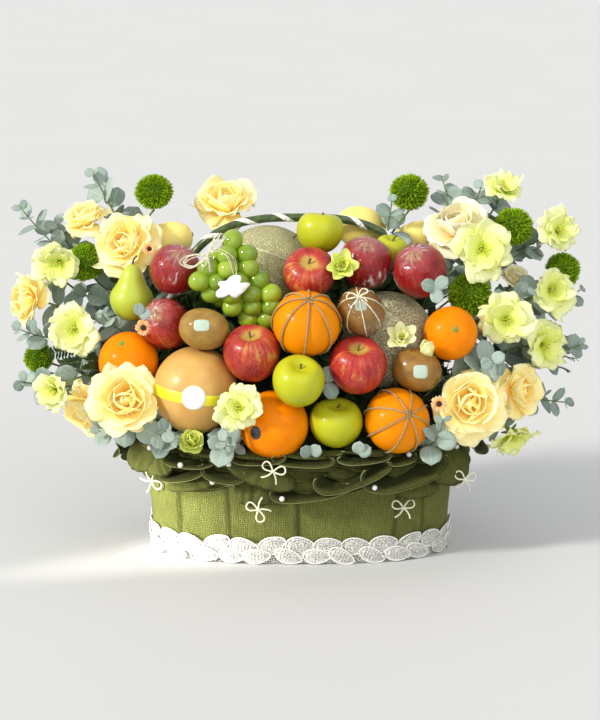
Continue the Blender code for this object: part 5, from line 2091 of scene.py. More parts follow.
@dataclass(frozen=True)
class Fold:
    """One fold of the collar: a hollow loop seen from its open end, or a full lobe that bellies forward."""

    x: float
    z: float
    half: float
    tall: float
    turn: float = 0.0
    out: float = 0.004
    full: bool = False
    skew: float = 0.0

    def hollow(self, u: np.ndarray, s: np.ndarray) -> tuple[np.ndarray, ...]:
        """A loop whose floor rises to the back.

        Args:
            u: share of the way round the rim, from the upper left under the loop to the upper right.
            s: share of the way in from the rim.

        Returns:
            How far along, up and out of the wall each point is.
        """
        angle = np.radians(148 + 244 * u)
        cos, sin = np.cos(angle), np.sin(angle)
        deep = min(0.60 * self.tall + 0.014, 0.034)
        flare = 1 + 0.05 * np.clip(1 - s / 0.12, 0, 1) ** 2
        x = self.half * np.sign(cos) * np.abs(cos) ** 0.8 * (1 - 0.35 * s**1.4) * flare
        up = 0.5 * self.tall * np.sign(sin) * np.abs(sin) ** 0.85 * (1 + self.skew * cos)
        up = up * (1 - 0.45 * s) * flare + 0.16 * self.tall * s
        out = self.out + deep * (1 - s**1.2) - 0.30 * deep * np.abs(cos) ** 3 * (1 - s)
        return x, up, out

    def belly(self, u: np.ndarray, s: np.ndarray) -> tuple[np.ndarray, ...]:
        """A lobe that hangs from above over a free lower edge.

        Args:
            u: share of the way along the lobe.
            s: share of the way down it.

        Returns:
            How far along, up and out of the wall each point is.
        """
        t = 2 * u - 1
        end = (1 - np.abs(t) ** 2.7) ** 0.55
        low = -0.5 * self.tall * end * (1 + self.skew * t)
        top = 0.5 * self.tall * end * (1 - 0.3 * self.skew * t) + 0.06 * self.tall
        deep = min(0.40 * self.tall + 0.004, 0.016)
        bulge = -0.010 * (1 - s) ** 3 + deep * np.sin(0.66 * math.pi * s) ** 0.8
        out = self.out + bulge * (0.1 + 0.9 * end)
        return self.half * t * (1 - 0.06 * (1 - s)), top + (low - top) * s**0.9, out

    def add(self, draft: Draft, wall: Wall, share: float, seed: int) -> float:
        """Adds the fold to the collar and gives its area.

        Args:
            draft: where it is added.
            wall: the wall it stands on.
            share: where its middle is, round the wall.
            seed: for its small creases.

        Returns:
            The area of its cloth.
        """
        u = np.linspace(0, 1, 43)[None]
        s = np.linspace(0, 1, 12)[:, None]
        x, up, out = self.belly(u, s) if self.full else self.hollow(u, s)
        rim = s if self.full else 1 - s
        crease = 0.0042 if self.full else 0.0010
        out = out + crease * np.sin(19 * u + 3 * np.sin(5 * u + seed)) * rim * (1.2 - rim)
        up = up + 0.06 * self.tall * np.sin(3.1 * u + seed) * rim
        c, d = math.cos(self.turn), math.sin(self.turn)
        grid, _ = wall.points(share + (x * c - up * d) / wall.length(), self.z + x * d + up * c, out)
        across, down = np.diff(grid, axis=1), np.diff(grid, axis=0)
        area = np.linalg.norm(np.cross(across[:-1], down[:, :-1]), axis=-1).sum()
        along = np.concatenate([[0.0], np.cumsum(np.linalg.norm(across, axis=-1).mean(axis=0))])[None]
        depth = np.concatenate([[0.0], np.cumsum(np.linalg.norm(down, axis=-1).mean(axis=1))])[:, None]
        # A paler colour along the free edge.
        tone = np.clip(0.5 + 0.5 * (rim - 0.93) / 0.05, 0.5, 1.0)
        # Painted shade that deepens into each hollow loop.
        if not self.full:
            tone = tone - 0.5 * np.clip(s / 0.55, 0, 1)
        skin = np.stack(np.broadcast_arrays(1.3 * (along + self.x), 1.3 * depth, tone), axis=-1)
        draft.sheet(grid, skin)
        return float(area)


@dataclass
class Collar:
    """The gathered collar round the rim: tiers in wide folds, and the loops and lobes that lie over them."""

    wall: Wall
    tiers: tuple[Tier, ...] = (
        Tier((0.0040, 0.163), (0.019, 0.161), 15, 0.9, 0.0050, 0.021, 0.0050),
        Tier((0.0035, 0.154), (0.010, 0.145), 13, 2.0, 0.0090, 0.025, 0.0050),
        Tier((0.0030, 0.140), (0.008, 0.128), 14, 4.1, 0.0085, 0.023, 0.0050),
        Tier((0.0030, 0.122), (0.006, 0.113), 11, 0.3, 0.0080, 0.026, 0.0040),
    )
    folds: tuple[Fold, ...] = (
        Fold(-0.147, 0.149, 0.033, 0.022, -0.08, 0.006, False, -0.3),
        Fold(-0.158, 0.130, 0.032, 0.024, 0.25, 0.004),
        Fold(-0.152, 0.113, 0.042, 0.022, 0.32, 0.004, True, 0.3),
        Fold(-0.101, 0.135, 0.028, 0.024, -0.15, 0.004),
        Fold(-0.052, 0.132, 0.050, 0.030, -0.32, 0.010, True, 0.3),
        Fold(-0.060, 0.106, 0.030, 0.042, -0.10, 0.001, True),
        Fold(0.014, 0.109, 0.053, 0.026, 0.10, 0.000, False, -0.2),
        Fold(0.069, 0.131, 0.050, 0.032, 0.30, 0.003, False, -0.3),
        Fold(0.138, 0.134, 0.056, 0.042, 0.20, 0.003, False, -0.2),
        Fold(0.132, 0.153, 0.018, 0.014, 0.20, 0.010),
        Fold(0.166, 0.108, 0.036, 0.032, 0.04, 0.002, True),
        Fold(0.213, 0.130, 0.038, 0.050, 0.10, 0.017, True, 0.2),
        Fold(0.004, 0.154, 0.040, 0.018, -0.06, 0.008),
        Fold(-0.054, 0.156, 0.034, 0.016, 0.05, 0.010),
        Fold(0.084, 0.157, 0.034, 0.016, 0.10, 0.008),
        Fold(-0.190, 0.138, 0.022, 0.034, 0.45, 0.014, True, 0.2),
        Fold(-0.222, 0.143, 0.030, 0.042, -0.35, 0.016, True, -0.3),
    )
    columns: int = 520
    rows: int = 13

    def build(self) -> Piece:
        """Makes the collar.

        Returns:
            The piece.
        """
        draft = Draft()
        length = self.wall.length()
        flat = 0.0
        for tier in self.tiers:
            share = np.arange(self.columns)[None] / self.columns
            s = np.linspace(0, 1, self.rows + 1)[:, None]
            share, s = np.broadcast_arrays(share, s)
            turn = TURN * share
            uneven = 0.9 * np.sin(2 * turn + tier.phase) + 0.5 * np.sin(5 * turn + 2 * tier.phase)
            psi = tier.folds * turn + tier.phase + uneven
            bold = 1 + 0.40 * np.sin(3 * turn + 3 * tier.phase)
            belly = (0.5 - 0.5 * np.cos(psi)) ** 0.7
            low = tier.edge[1] - tier.sag * belly * bold + 0.003 * np.sin(psi + 0.6)
            reach = tier.edge[0] * (0.66 + 0.34 * belly) + 0.0045 * np.sin(psi)
            lip = tier.lip * (0.25 + 0.75 * belly) * bold
            down = np.clip(s / 0.5, 0, 1)
            roll = math.radians(160) * np.clip((s - 0.5) / 0.5, 0, 1)
            out = tier.top[0] + (reach - tier.top[0]) * down**0.8 + 0.34 * lip * np.sin(roll)
            height = tier.top[1] + (low - tier.top[1]) * down**1.25 + lip * (0.5 - 0.5 * np.cos(roll))
            metres = (np.mod(share + 0.5, 1.0) - 0.5) * length
            place = np.stack([metres, s * 0.05, np.full(share.shape, tier.phase)], axis=-1)
            out = out + 0.0012 * s * ripple(place, 0.03, tier.folds)
            sway = -tier.sway / length * s**0.8 * np.tanh(1.5 * np.sin(psi)) * bold
            grid, _ = self.wall.points(share + sway, height, np.maximum(out, 0.001))
            across = np.linalg.norm(np.diff(grid, axis=0), axis=-1).sum(axis=0).mean()
            edge = np.linalg.norm(np.roll(grid, -1, axis=1) - grid, axis=-1).sum(axis=1)
            flat += across * edge.mean()
            # Painted shade at the top of each tier, under the one above, and a paler colour at its free edge.
            tone = np.where(s < 0.90, 0.26 + 0.26 * down, 0.5 + 5 * (s - 0.90))
            along = metres * 1.6
            draft.sheet(grid, np.stack([along, s * across * 1.3, tone], axis=-1), around=True)
        for seed, fold in enumerate(self.folds + self.round_the_back()):
            flat += fold.add(draft, self.wall, fold.x / length, seed)
        collar = draft.make("collar_cloth", [Palette.collar_cloth], "olive_cloth", thickness=0.0011)
        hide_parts("collar_ruffle")
        return collar

    def round_the_back(self) -> tuple[Fold, ...]:
        """Loops like those in front, for the ends and the back of the tub.

        Returns:
            The folds.
        """
        rng = np.random.default_rng(6)
        length = self.wall.length()
        places = np.arange(0.265, length - 0.265, 0.043)
        heights = (0.151, 0.118, 0.136)
        return tuple(
            Fold(
                x,
                heights[k % 3] + rng.uniform(-0.004, 0.004),
                rng.uniform(0.030, 0.048),
                rng.uniform(0.022, 0.036),
                rng.uniform(-0.30, 0.30),
                (0.018, 0.009, 0.014)[k % 3],
                rng.random() < 0.4,
                rng.uniform(-0.3, 0.3),
            )
            for k, x in enumerate(places)
        )


class Surface:
    """The front of a made piece, for setting small things on it."""

    def __init__(self, *pieces: Piece) -> None:
        """Readies the pieces for rays."""
        depsgraph = bpy.context.evaluated_depsgraph_get()
        self.trees = [BVHTree.FromObject(piece, depsgraph) for piece in pieces]

    def front(self, x: float, z: float, fallback: float = -0.13) -> tuple[np.ndarray, np.ndarray]:
        """The foremost point at a place seen from the front, and the way the surface faces there.

        Args:
            x: across.
            z: up.
            fallback: the depth where there is no surface.

        Returns:
            The point and the direction.
        """
        best = None
        for tree in self.trees:
            point, normal, _, _ = tree.ray_cast(Vector((x, -1, z)), Vector((0, 1, 0)))
            if point is not None and (best is None or point.y < best[0].y):
                best = (point, normal)
        if best is None:
            return np.array([x, fallback, z]), np.array([0.0, -1.0, 0.0])
        return np.array(best[0]), np.array(best[1] if best[1].y < 0 else -best[1])


@dataclass
class LaceBand:
    """The lace round the foot: a net strip under two rows of oval petals with corded rims and veins."""

    wall: Wall
    petals: int = 29

    def petal(
        self, draft: Draft, share: float, middle: float, half: tuple[float, float], lean: float, lift: float
    ) -> None:
        """Adds one oval petal.

        Args:
            draft: where it is added.
            share: where its middle is, round the wall.
            middle: the height of its middle.
            half: half its length and half its height.
            lean: how far its right end is raised, in radians.
            lift: how far it stands off the wall.
        """
        length = self.wall.length()

        def at(x: np.ndarray, y: np.ndarray, out: float = 0.0) -> np.ndarray:
            """Points for places in the petal's plane.

            Args:
                x: along the petal.
                y: across it.
                out: how far outward.

            Returns:
                One point in each row.
            """
            a = x * math.cos(lean) - y * math.sin(lean)
            b = x * math.sin(lean) + y * math.cos(lean)
            bow = 0.0016 * np.cos(np.clip(x / half[0], -1, 1) * math.pi / 2)
            points, _ = self.wall.points(share + a / length, np.maximum(middle + b, 0.0006), lift + out + bow)
            return points

        t = np.arange(28) * TURN / 28
        x = half[0] * (np.cos(t) + 0.10 * np.cos(t) ** 3)
        y = half[1] * np.sin(t) * (1 - 0.22 * np.cos(t))
        draft.tube(at(x, y), 0.0011, 5, closed=True)
        draft.tube(at(x * 0.78, y * 0.74), 0.0006, 4, closed=True)
        s = np.linspace(0, 1, 4)[:, None]
        plane = np.stack([x * s + share * length, y * s + middle, 0 * x * s], axis=-1)
        draft.sheet(at(x * s * 0.97, y * s * 0.97, -0.0003), plane, around=True, slot=1)
        for j in range(-2, 3):
            s = np.linspace(-0.95, 0.9, 6)
            draft.tube(at(s * half[0], j * 0.27 * half[1] * np.cos(s * math.pi / 2), 0.0003), 0.00045, 4)
        for j in range(-3, 4):
            s = np.linspace(-0.93, 0.93, 5)
            reach = math.sqrt(1 - (j * 0.25) ** 2) * half[1] * (1 - 0.22 * j * 0.25)
            draft.tube(at((j * 0.25 + 0.10 * np.abs(s)) * half[0], s * reach, 0.0002), 0.00042, 4)

    def build(self) -> Piece:
        """Makes the lace as one piece.

        Returns:
            The piece.
        """
        rng = np.random.default_rng(8)
        draft = Draft()
        height = np.linspace(0.0008, 0.0290, 4)[:, None]
        share, height = np.broadcast_arrays(np.arange(480)[None] / 480, height)
        grid, _ = self.wall.points(share, height, np.full(share.shape, 0.0012))
        skin = np.stack([share * self.wall.length(), height, np.full(share.shape, 0.5)], axis=-1)
        draft.sheet(grid, skin, around=True, slot=1)
        for k in range(self.petals):
            lean = 0.15 + rng.uniform(-0.35, 0.35)
            tall = 0.0122 * rng.uniform(0.88, 1.12)
            middle = 0.0262 + rng.uniform(-0.002, 0.002)
            self.petal(draft, k / self.petals, middle, (0.0190, tall), lean, 0.0020 + 0.0012 * (k % 2))
            lean = -0.20 + rng.uniform(-0.3, 0.3)
            share_k = (k + 0.5 + rng.uniform(-0.15, 0.15)) / self.petals
            self.petal(draft, share_k, 0.0118, (0.0180, 0.0098), lean, 0.0050 + 0.0012 * (k % 2))
        lace = draft.make("lace_trim", [Palette.lace_cord, Palette.lace_gauze], "lace")
        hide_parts("lace_band")
        return lace


@dataclass
class Handle:
    """The hoop handle: a wound satin tube with a pale ribbon in slanted turns."""

    half_span: float = 0.199
    top: float = 0.4585
    foot: float = 0.118
    rim: float = 0.150
    y: float = 0.020
    power: float = 3.0
    radius: float = 0.0058
    pitch: float = 0.052
    band: float = 0.0062

    def line(self, count: int = 400) -> np.ndarray:
        """Points along the middle of the hoop.

        Args:
            count: how many points.

        Returns:
            One point in each row.
        """
        a = math.pi * (1 - np.arange(1201) / 1200)
        c, s = np.cos(a), np.maximum(0, np.sin(a))
        x = self.half_span * np.sign(c) * np.abs(c) ** (2 / self.power)
        z = self.rim + (self.top - self.rim) * s ** (2 / self.power)
        arch = np.stack([x, np.full(1201, self.y), z], axis=-1)
        feet = [np.array([[w * self.half_span, self.y, self.foot]]) for w in (-1, 1)]
        whole = np.vstack([feet[0], arch, feet[1]])
        along = distances(whole)
        return places(whole, along, np.linspace(0, along[-1], count))

    def build(self) -> Piece:
        """Makes the tube and the ribbon round it.

        Returns:
            The piece.
        """
        draft = Draft()
        line = self.line()
        draft.tube(line, self.radius, 18)
        along = distances(line)
        turn = np.arange(0.5 * TURN, (along[-1] - 0.02) / self.pitch * TURN, TURN / 20)[:, None]
        w = np.linspace(-1, 1, 7)[None]
        s = turn / TURN * self.pitch + w * self.band
        centre = places(line, along, s)
        ahead = places(line, along, s + 0.001) - centre
        ahead = unit(ahead + np.array([1e-9, 0, 0]))
        deep = np.array([0.0, 1.0, 0.0])
        out = np.cross(ahead, deep)
        reach = self.radius + 0.0007 * (1 - w**6)
        ring = np.cos(turn)[..., None] * deep + np.sin(turn)[..., None] * out
        grid = centre + ring * reach[..., None]
        skin = np.stack([turn / TURN + 0 * w, s, 0.5 + 0 * s], axis=-1)
        draft.sheet(grid, skin, slot=1)
        handle = draft.make("handle_wound", [Palette.satin, Palette.white_ribbon], "ribbon")
        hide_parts("handle_hoop")
        return handle


@dataclass
class Greenery:
    """The dark packing under the heap, with the stems, eucalyptus, leaves and ferns that stand in it."""

    load: list
    handle: np.ndarray
    lines: list[np.ndarray] = field(default_factory=list)
    sections: tuple = (
        (0.006, 0.196, -0.116, 0.116),
        (0.152, 0.203, -0.110, 0.117),
        (0.185, 0.205, -0.090, 0.117),
        (0.225, 0.202, -0.074, 0.112),
        (0.270, 0.190, -0.058, 0.102),
        (0.315, 0.172, -0.042, 0.090),
        (0.355, 0.145, -0.026, 0.074),
        (0.390, 0.100, -0.008, 0.052),
        (0.394, 0.050, 0.005, 0.040),
        (0.395, 0.001, 0.021, 0.023),
    )
    sprigs: tuple = (
        ((-0.14, 0.05, 0.28), (-0.245, 0.120, 0.40), (-0.292, 0.088, 0.512), 4, 0.036),
        ((-0.14, 0.06, 0.27), (-0.330, 0.125, 0.36), (-0.394, 0.068, 0.466), 4, 0.032),
        ((-0.14, 0.05, 0.26), (-0.300, 0.125, 0.33), (-0.345, 0.085, 0.440), 2, 0.038),
        ((-0.14, 0.02, 0.26), (-0.330, 0.035, 0.27), (-0.392, -0.010, 0.306), 3, 0.034),
        ((-0.14, 0.00, 0.23), (-0.320, 0.010, 0.21), (-0.388, -0.030, 0.236), 3, 0.034),
        ((-0.14, 0.00, 0.25), (-0.260, -0.010, 0.30), (-0.272, -0.056, 0.336), 2, 0.034),
        ((-0.14, -0.02, 0.20), (-0.262, -0.060, 0.178), (-0.274, -0.112, 0.184), 3, 0.034),
        ((-0.13, -0.05, 0.172), (-0.172, -0.150, 0.176), (-0.180, -0.172, 0.198), 2, 0.034),
        ((-0.09, -0.05, 0.172), (-0.100, -0.172, 0.168), (-0.104, -0.188, 0.188), 2, 0.032),
        ((0.11, 0.04, 0.34), (0.122, 0.036, 0.43), (0.128, 0.030, 0.480), 2, 0.034),
        ((0.14, 0.05, 0.30), (0.192, 0.075, 0.44), (0.200, 0.070, 0.505), 3, 0.034),
        ((0.14, 0.06, 0.28), (0.230, 0.090, 0.42), (0.254, 0.055, 0.496), 2, 0.036),
        ((0.14, 0.03, 0.27), (0.320, 0.060, 0.40), (0.335, 0.046, 0.410), 3, 0.032),
        ((0.14, 0.01, 0.27), (0.250, -0.020, 0.31), (0.312, -0.052, 0.368), 2, 0.034),
        ((0.14, -0.01, 0.24), (0.250, -0.060, 0.27), (0.260, -0.118, 0.283), 3, 0.038),
        ((0.13, -0.05, 0.172), (0.182, -0.140, 0.178), (0.192, -0.166, 0.212), 2, 0.028),
        ((0.14, 0.01, 0.26), (0.330, 0.030, 0.25), (0.396, 0.004, 0.282), 3, 0.034),
        ((0.14, 0.00, 0.24), (0.320, 0.010, 0.20), (0.372, -0.020, 0.204), 3, 0.034),
        ((0.14, 0.03, 0.26), (0.340, 0.060, 0.30), (0.398, 0.054, 0.352), 3, 0.030),
    )
    loose: tuple = (
        ((0.035, -0.139, 0.257), ((0.25, -0.2, 1.0), (0.5, -0.2, -0.8)), 0.025),
        ((0.015, -0.155, 0.160), ((0.5, -0.5, 0.7), (-0.5, -0.5, 0.5)), 0.022),
        ((0.078, -0.155, 0.162), ((0.8, -0.4, 0.5), (0.1, -0.5, 0.9)), 0.022),
        ((0.182, -0.133, 0.386), ((-0.8, -0.3, 0.3), (0.6, -0.3, 0.6), (0.1, -0.3, -0.9)), 0.022),
        ((-0.217, -0.125, 0.346), ((0.1, -0.3, 1.0), (0.8, -0.3, 0.3)), 0.019),
    )
    bends: tuple = ((0.0, 0.03, 0.06, 0.10, 0.14), (0.0, -0.04, 0.04, -0.08), (0.0, -0.04, 0.04, -0.08, 0.08))
    shifts: tuple = ((0, 0, 0), (0, 0.04, 0), (0, -0.05, 0), (0, 0, -0.06), (0, 0.03, -0.06))

    def held(
        self, points: np.ndarray, grow: float = 1.10, margin: float = 0.0035, own: object = None
    ) -> np.ndarray:
        """How many fruits and heads each point lies in, when they are grown a little.

        Args:
            points: the places.
            grow: how many times larger each is taken.
            margin: how much larger beyond that.
            own: the one that is left out.

        Returns:
            The number for each place.
        """
        total = np.zeros(points.shape[:-1])
        for item in self.load:
            if item is not own:
                local = ((points - item.centre) @ item.turn) / (item.size() * grow + margin)
                total += (local**2).sum(-1) < 1
        return total

    def section(self, height: float) -> tuple[float, float, float]:
        """The packing's half length, front and back at a height."""
        table = np.array(self.sections)
        return tuple(float(np.interp(height, table[:, 0], table[:, k])) for k in (1, 2, 3))

    def in_bed(self, point: np.ndarray) -> bool:
        """Whether a point lies well inside the packing.

        Args:
            point: the place.

        Returns:
            True well inside it.
        """
        half_x, front, back = self.section(point[2])
        across = abs(point[0]) / half_x
        deep = abs(point[1] - (front + back) / 2) / ((back - front) / 2)
        return across**2.6 + deep**2.6 < 0.8 and 0.157 < point[2] < 0.380

    def route(self, root: Triple, way: Triple, end: Triple, own: object = None) -> np.ndarray:
        """The stem from near root to end that meets the fewest fruits and heads.

        Args:
            root: where it starts in the packing.
            way: a place it is drawn towards.
            end: where it ends.
            own: the head it carries.

        Returns:
            Forty-one points.
        """
        choices = [
            (np.array(root) + shift, np.array(way) + (across, back, lift))
            for back in self.bends[0]
            for lift in self.bends[1]
            for across in self.bends[2]
            for shift in self.shifts
        ]
        lines = np.array([bezier(start, middle, np.array(end), 14)[:-1] for start, middle in choices])
        met = self.held(lines, own=own).sum(-1)
        near = np.linalg.norm(lines[:, :, None] - self.handle[None, None, ::8], axis=-1).min(-1) < 0.0105
        met = met + near.sum(-1) + np.array([0 if self.in_bed(start) else 4 for start, _ in choices])
        start, middle = choices[int(np.argmin(met))]
        return bezier(start, middle, np.array(end), 40)

    def packing(self) -> Piece:
        """The dark mound that fills the tub.

        Returns:
            The piece.
        """
        count = 120
        t = np.arange(count) * TURN / count
        u, v = Wall().outline(t)
        heights = np.concatenate([[0.006], np.linspace(0.152, 0.395, 40)])
        rings = [np.column_stack([np.zeros(count), np.zeros(count), np.full(count, 0.006)])]
        for z in heights:
            half_x, front, back = self.section(z)
            y = (front + back) / 2 + v * (back - front) / 2
            rings.append(np.column_stack([u * half_x, y, np.full(count, z)]))
        rings.append(np.repeat([[0.0, 0.022, 0.395]], count, axis=0))
        grid = np.array(rings)
        middle = np.array([0.0, 0.01, 0.0])
        lump = 1 - 0.035 * (1 + ripple(grid, 0.03, 21)) * (grid[..., 2] > 0.155)
        grid[..., :2] = middle[:2] + (grid[..., :2] - middle[:2]) * lump[..., None]
        draft = Draft()
        draft.sheet(grid, grid, around=True)
        piece = draft.make("packing_mound", [Palette.shaded_packing], "foliage")
        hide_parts("greenery")
        return piece

    def stems(self) -> Piece:
        """A stem from the packing to the back of each flower head.

        Returns:
            The piece.
        """
        draft = Draft()
        for head in self.load:
            if isinstance(head, Fruit):
                continue
            away = -head.turn[:, 2]
            back = head.centre + away * head.half_height * 0.9
            reach = math.copysign(min(abs(head.centre[0]) * 0.7, 0.14), head.centre[0])
            height = max(0.20, min(0.31, head.centre[2] - 0.12))
            depth = 0.06 if head.centre[1] > 0 else 0.02
            if head.centre[2] < 0.31 and head.centre[1] < -0.10:
                depth = -0.04
            root = np.array([reach, depth, height])
            way = back + away * 0.45 * np.linalg.norm(back - root)
            way = way * 0.6 + (root + back) / 2 * 0.4
            line = self.route(root, way, back, head)
            self.lines.append(line)
            draft.tube(line, 0.0015, 7, tone=0.3)
        return draft.make("flower_stems", [Palette.stem], "foliage")

    def fits(self, points: np.ndarray) -> bool:
        """Whether points lie inside the CAD model's box and outside the fruits and heads."""
        lo, hi = (np.array(corner) for corner in CAD_BOX)
        inside = (points > lo + 0.001).all() and (points < hi - 0.001).all()
        return bool(inside) and not self.held(points, 0.97, 0.0).any()

    def eucalyptus(self) -> Piece:
        """Sprigs of round blue-green leaves that stand in pairs.

        Returns:
            The piece.
        """
        rng = np.random.default_rng(31)
        draft = Draft()
        for root, way, tip, leaves, size in self.sprigs:
            line = self.route(root, way, tip)
            draft.tube(line, np.linspace(0.0016, 0.0007, len(line)), 6, tone=0.6, slot=1)
            along = distances(line)
            spin = rng.uniform(0, TURN)
            for k in range(2 * leaves + 2):
                here = along[-1] - 0.002 - k * 0.0185
                if here < along[-1] * 0.2:
                    break
                grow = min(1.0, 0.5 + 0.25 * k) * rng.uniform(0.85, 1.15)
                self.pair(draft, line, here, spin + k * 1.45, size * 0.82 * grow, rng)
        for line in self.lines:
            along = np.linalg.norm(np.diff(line, axis=0), axis=1).sum()
            here = along - 0.030 * rng.uniform(0.8, 1.2)
            while here > along * 0.35 and here > 0.02:
                self.pair(draft, line, here, rng.uniform(0, TURN), rng.uniform(0.024, 0.034), rng)
                here -= rng.uniform(0.024, 0.036)
        face = (0.0, -1.0, 0.3)
        for foot, ways, length in self.loose:
            for way in ways:
                tone = rng.uniform(0, 1)
                leaf_blade(draft, np.array(foot), way, face, length, length * 0.42, 0.52, 0.1, tone)
        finishes = [Palette.eucalyptus, Palette.stem]
        return draft.make("eucalyptus_sprigs", finishes, "foliage", thickness=0.0004)

    def pair(
        self,
        draft: Draft,
        line: np.ndarray,
        here: float,
        spin: float,
        length: float,
        rng: np.random.Generator,
    ) -> None:
        """Adds two leaves that face each other across a stem, where they are free.

        Args:
            draft: where they are added.
            line: the stem.
            here: how far along it they stand.
            spin: how they are turned about it.
            length: their length.
            rng: for the small differences between them.
        """
        along = distances(line)
        foot = places(line, along, here)
        ahead = unit(foot - places(line, along, here - 0.004))
        frame = turned_to(ahead, spin)
        for side in (1, -1):
            out = unit(frame[:, 0] * side + ahead * rng.uniform(0.3, 0.8) + rng.normal(size=3) * 0.14)
            face = ahead * 0.4 + np.array([0, -0.8, 0.4]) + rng.normal(size=3) * 0.30
            slim = rng.uniform(0.20, 0.28) if rng.uniform() < 0.22 else rng.uniform(0.38, 0.50)
            for shrink in (1.2, 0.9, 0.65):
                size = length * shrink
                if self.fits(foot + out * size * np.array([[0.35], [0.65], [1.0]])):
                    width = size * slim
                    droop, tone = rng.uniform(-0.05, 0.22), rng.uniform(0, 1)
                    leaf_blade(draft, foot, out, face, size, width, 0.52, droop, tone)
                    break

    def dark_leaves(self, count: int = 1100) -> Piece:
        """Dark leaves that cover the packing between the fruits and at the back.

        Args:
            count: how many leaves are tried.

        Returns:
            The piece.
        """
        rng = np.random.default_rng(47)
        draft = Draft()
        made = 0
        while made < count:
            z = rng.uniform(0.158, 0.39)
            a = rng.uniform(0, TURN)
            u, v = Wall().outline(np.array([a]))
            half_x, front, back = self.section(z)
            y = (front + back) / 2 + v[0] * (back - front) / 2
            foot = np.array([u[0] * half_x, y, z]) * (0.97, 0.97, 1)
            out = unit(np.array([u[0] / half_x, v[0] / (back - front) * 2, 0.4]) * (0.05, 0.05, 1))
            out = unit(out + rng.normal(size=3) * 0.55)
            length = rng.uniform(0.026, 0.046)
            made += 1
            if not self.fits(foot + out * length * np.array([[0.5], [1.0]])):
                continue
            face = unit(np.array([u[0], v[0], 0.8]) + rng.normal(size=3) * 0.4)
            droop, tone = rng.uniform(0, 0.3), rng.uniform(0, 1)
            leaf_blade(draft, foot, out, face, length, length * 0.25, 0.42, droop, tone, 4)
        return draft.make("dark_leaves", [Palette.dark_leaf], "foliage", thickness=0.0004)

    def ferns(self) -> Piece:
        """Sprays of small dark leaflets at the left and right.

        Returns:
            The piece.
        """
        rng = np.random.default_rng(53)
        draft = Draft()
        sprays = (
            ((-0.15, 0.03, 0.26), (-0.26, 0.02, 0.29), (-0.345, -0.030, 0.275)),
            ((-0.15, 0.02, 0.25), (-0.25, -0.01, 0.27), (-0.330, -0.040, 0.262)),
            ((-0.15, 0.02, 0.24), (-0.24, -0.02, 0.25), (-0.300, -0.075, 0.262)),
            ((0.15, 0.03, 0.26), (0.28, 0.03, 0.28), (0.385, 0.000, 0.262)),
            ((0.15, 0.02, 0.25), (0.26, 0.00, 0.27), (0.372, -0.020, 0.250)),
            ((0.15, 0.02, 0.28), (0.24, 0.00, 0.34), (0.318, -0.035, 0.352)),
            ((0.12, -0.03, 0.21), (0.17, -0.09, 0.24), (0.190, -0.140, 0.262)),
            ((-0.15, 0.05, 0.28), (-0.22, 0.06, 0.36), (-0.262, 0.040, 0.372)),
        )
        for root, way, tip in sprays:
            line = self.route(root, way, tip)
            draft.tube(line, np.linspace(0.0012, 0.0005, len(line)), 5, tone=0.1, slot=1)
            for k in range(12, 41):
                foot = line[k]
                ahead = unit(line[min(k + 1, 40)] - line[k - 1])
                frame = turned_to(ahead, 0.8)
                length = 0.022 * (1.15 - 0.7 * (k - 12) / 28) * rng.uniform(0.85, 1.1)
                for side in (1, -1):
                    out = unit(frame[:, 0] * side + ahead * 0.7 + rng.normal(size=3) * 0.08)
                    if self.fits(foot + out * length * np.array([[0.5], [1.0]])):
                        face = unit(frame[:, 1] + np.array([0, -0.4, 0.3]))
                        tone = rng.uniform(0, 1)
                        leaf_blade(draft, foot, out, face, length, length * 0.2, 0.4, 0.1, tone, 4)
        return draft.make("fern_sprays", [Palette.dark_leaf, Palette.stem], "foliage", thickness=0.0003)


